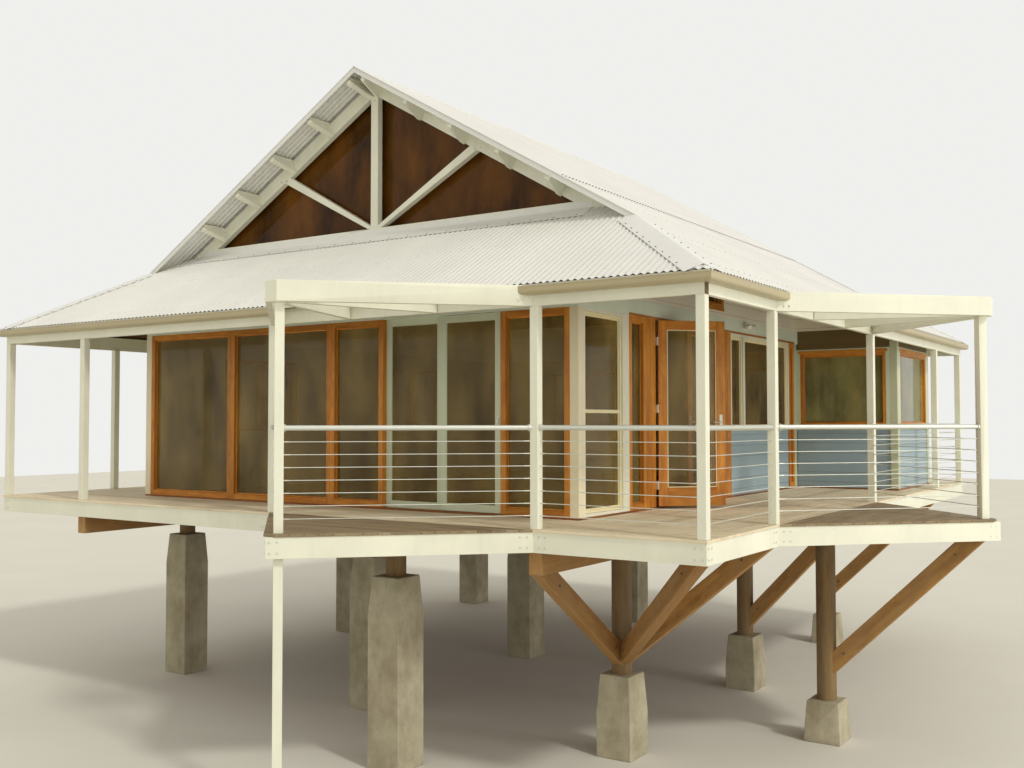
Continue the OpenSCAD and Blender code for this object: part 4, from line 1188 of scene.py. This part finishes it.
def make_lamp():
    """A white fitting with two spot lamps on the lintel of the right wall."""
    build = Build()
    x, y, z = WALL_X1 + 0.030, 5.76, 2.395
    build.block((WALL_X1, y - 0.055, z - 0.045), (x, y + 0.055, z + 0.045))
    # Neck, back and shade of a lamp: where each starts and ends, its radius and its sides
    parts = ((0.0, 0.025, 0.010, 12), (0.025, 0.055, 0.024, 18), (0.055, 0.100, 0.036, 20))
    for aside, aim in ((-0.035, (0.75, -0.55, -0.35)), (0.035, (0.80, 0.45, -0.25))):
        joint = Vector((x, y + aside, z))
        aim = Vector(aim).normalized()
        for start, stop, radius, sides in parts:
            build.rod(joint + aim * start, joint + aim * stop, radius, sides)
    piece(build, "twin_lamp", "cream_paint", bevel=0.002, look=LAMP_LOOK)


def make_beam_end():
    """The bare end of the front eaves beam, seen as a strip at the near corner."""
    build = Build()
    far = (0.001 - NOSING, NOSING + 0.085, BEAM_TOP - 0.002)
    build.block((-NOSING - 0.001, NOSING, BEAM_FOOT), far, (0, 1, 0))
    piece(build, "beam_end", "cedar", look=LINING_LOOK)


# Light, floor and camera

def make_floor():
    """A wide pale floor."""
    half = 60.0
    mesh = bpy.data.meshes.new("floor")
    corners = [(-half, -half, 0), (half, -half, 0), (half, half, 0), (-half, half, 0)]
    mesh.from_pydata(corners, [], [(0, 1, 2, 3)])
    floor = new_object("floor", mesh)
    s = Surface("pale floor")
    tone = s.mix(s.noise(s.place(), 0.4, 3), srgb((0.87, 0.86, 0.83)), srgb((0.91, 0.90, 0.87)))
    mesh.materials.append(s.finish(tone, 0.9, specular=0.1))


def make_world():
    """A warm pale sky; the camera, mirrors and panes see the plain backdrop."""
    world = bpy.data.worlds.new("pale sky")
    world.use_nodes = True
    sky = Nodes(world.node_tree)
    lit = sky.tree.nodes["Background"]
    lit.inputs["Color"].default_value = srgb((0.98, 0.965, 0.915))
    lit.inputs["Strength"].default_value = 0.72
    seen = sky.node("ShaderNodeBackground", {"Color": srgb((0.94, 0.94, 0.93))})
    rays = sky.node("ShaderNodeLightPath").outputs
    plain = rays["Is Camera Ray"]
    for kind in ("Is Glossy Ray", "Is Transmission Ray"):
        plain = sky.math("MAXIMUM", plain, rays[kind])
    mixed = sky.node("ShaderNodeMixShader", {0: plain, 1: lit.outputs[0], 2: seen.outputs[0]})
    sky.join(mixed.outputs[0], sky.tree.nodes["World Output"].inputs[0])
    bpy.context.scene.world = world


def new_light(name, kind, energy, color):
    """A lamp of the scene, and the light it gives."""
    light = bpy.data.lights.new(name, kind)
    light.energy = energy
    light.color = color
    return new_object(name, light), light


def make_lights():
    """A soft sun, a broad fill, and a wide low light from the right that reaches in under the eaves."""
    pale = (1.0, 0.98, 0.93)
    for name, energy, spread, toward, color in (
        ("sun", 1.02, 6, (0.80, -0.22, 0.75), (1.0, 0.96, 0.86)),
        ("soft fill", 0.45, 70, (0.95, -0.25, 0.06), pale),
    ):
        lamp, light = new_light(name, "SUN", energy, color)
        light.angle = math.radians(spread)
        lamp.rotation_euler = Vector(toward).to_track_quat("Z", "Y").to_euler()
    lamp, light = new_light("low glow", "AREA", 540.0, pale)
    light.shape = "RECTANGLE"
    light.size, light.size_y = 12.0, 2.4
    lamp.location = HOME + Vector((13.0, 3.5, 1.4 - HOME.z))
    target = HOME + Vector((-2.0, 4.0, 1.6))
    lamp.rotation_euler = (target - lamp.location).to_track_quat("-Z", "Z").to_euler()
    lamp.visible_camera = False


def make_camera():
    """The camera that was fitted to the photograph."""
    data = bpy.data.cameras.new("camera")
    data.sensor_width = 36.0
    data.lens = 37.64
    data.clip_end = 300.0
    camera = new_object("camera", data)
    place = (8.3427, -13.264, 3.635)
    yaw, tilt, roll = (math.radians(angle) for angle in (33.79, 2.03, -0.06))
    turn = Matrix.Rotation(yaw, 4, "Z") @ Matrix.Rotation(math.pi / 2 + tilt, 4, "X")
    turn = turn @ Matrix.Rotation(roll, 4, "Z")
    camera.matrix_world = Matrix.Translation(place) @ turn
    bpy.context.scene.camera = camera


dress_cad_nodes()
make_roofs()
make_roof_edges()
make_decks()
make_front_wall()
make_right_wall()
make_other_windows()
make_french_doors()
make_sliding_door()
make_bolts()
make_braces()
make_rail_ends()
make_gutters()
make_roof_fixings()
make_lamp()
make_beam_end()
make_floor()
make_world()
make_lights()
make_camera()
bpy.context.scene.view_settings.view_transform = "Standard"
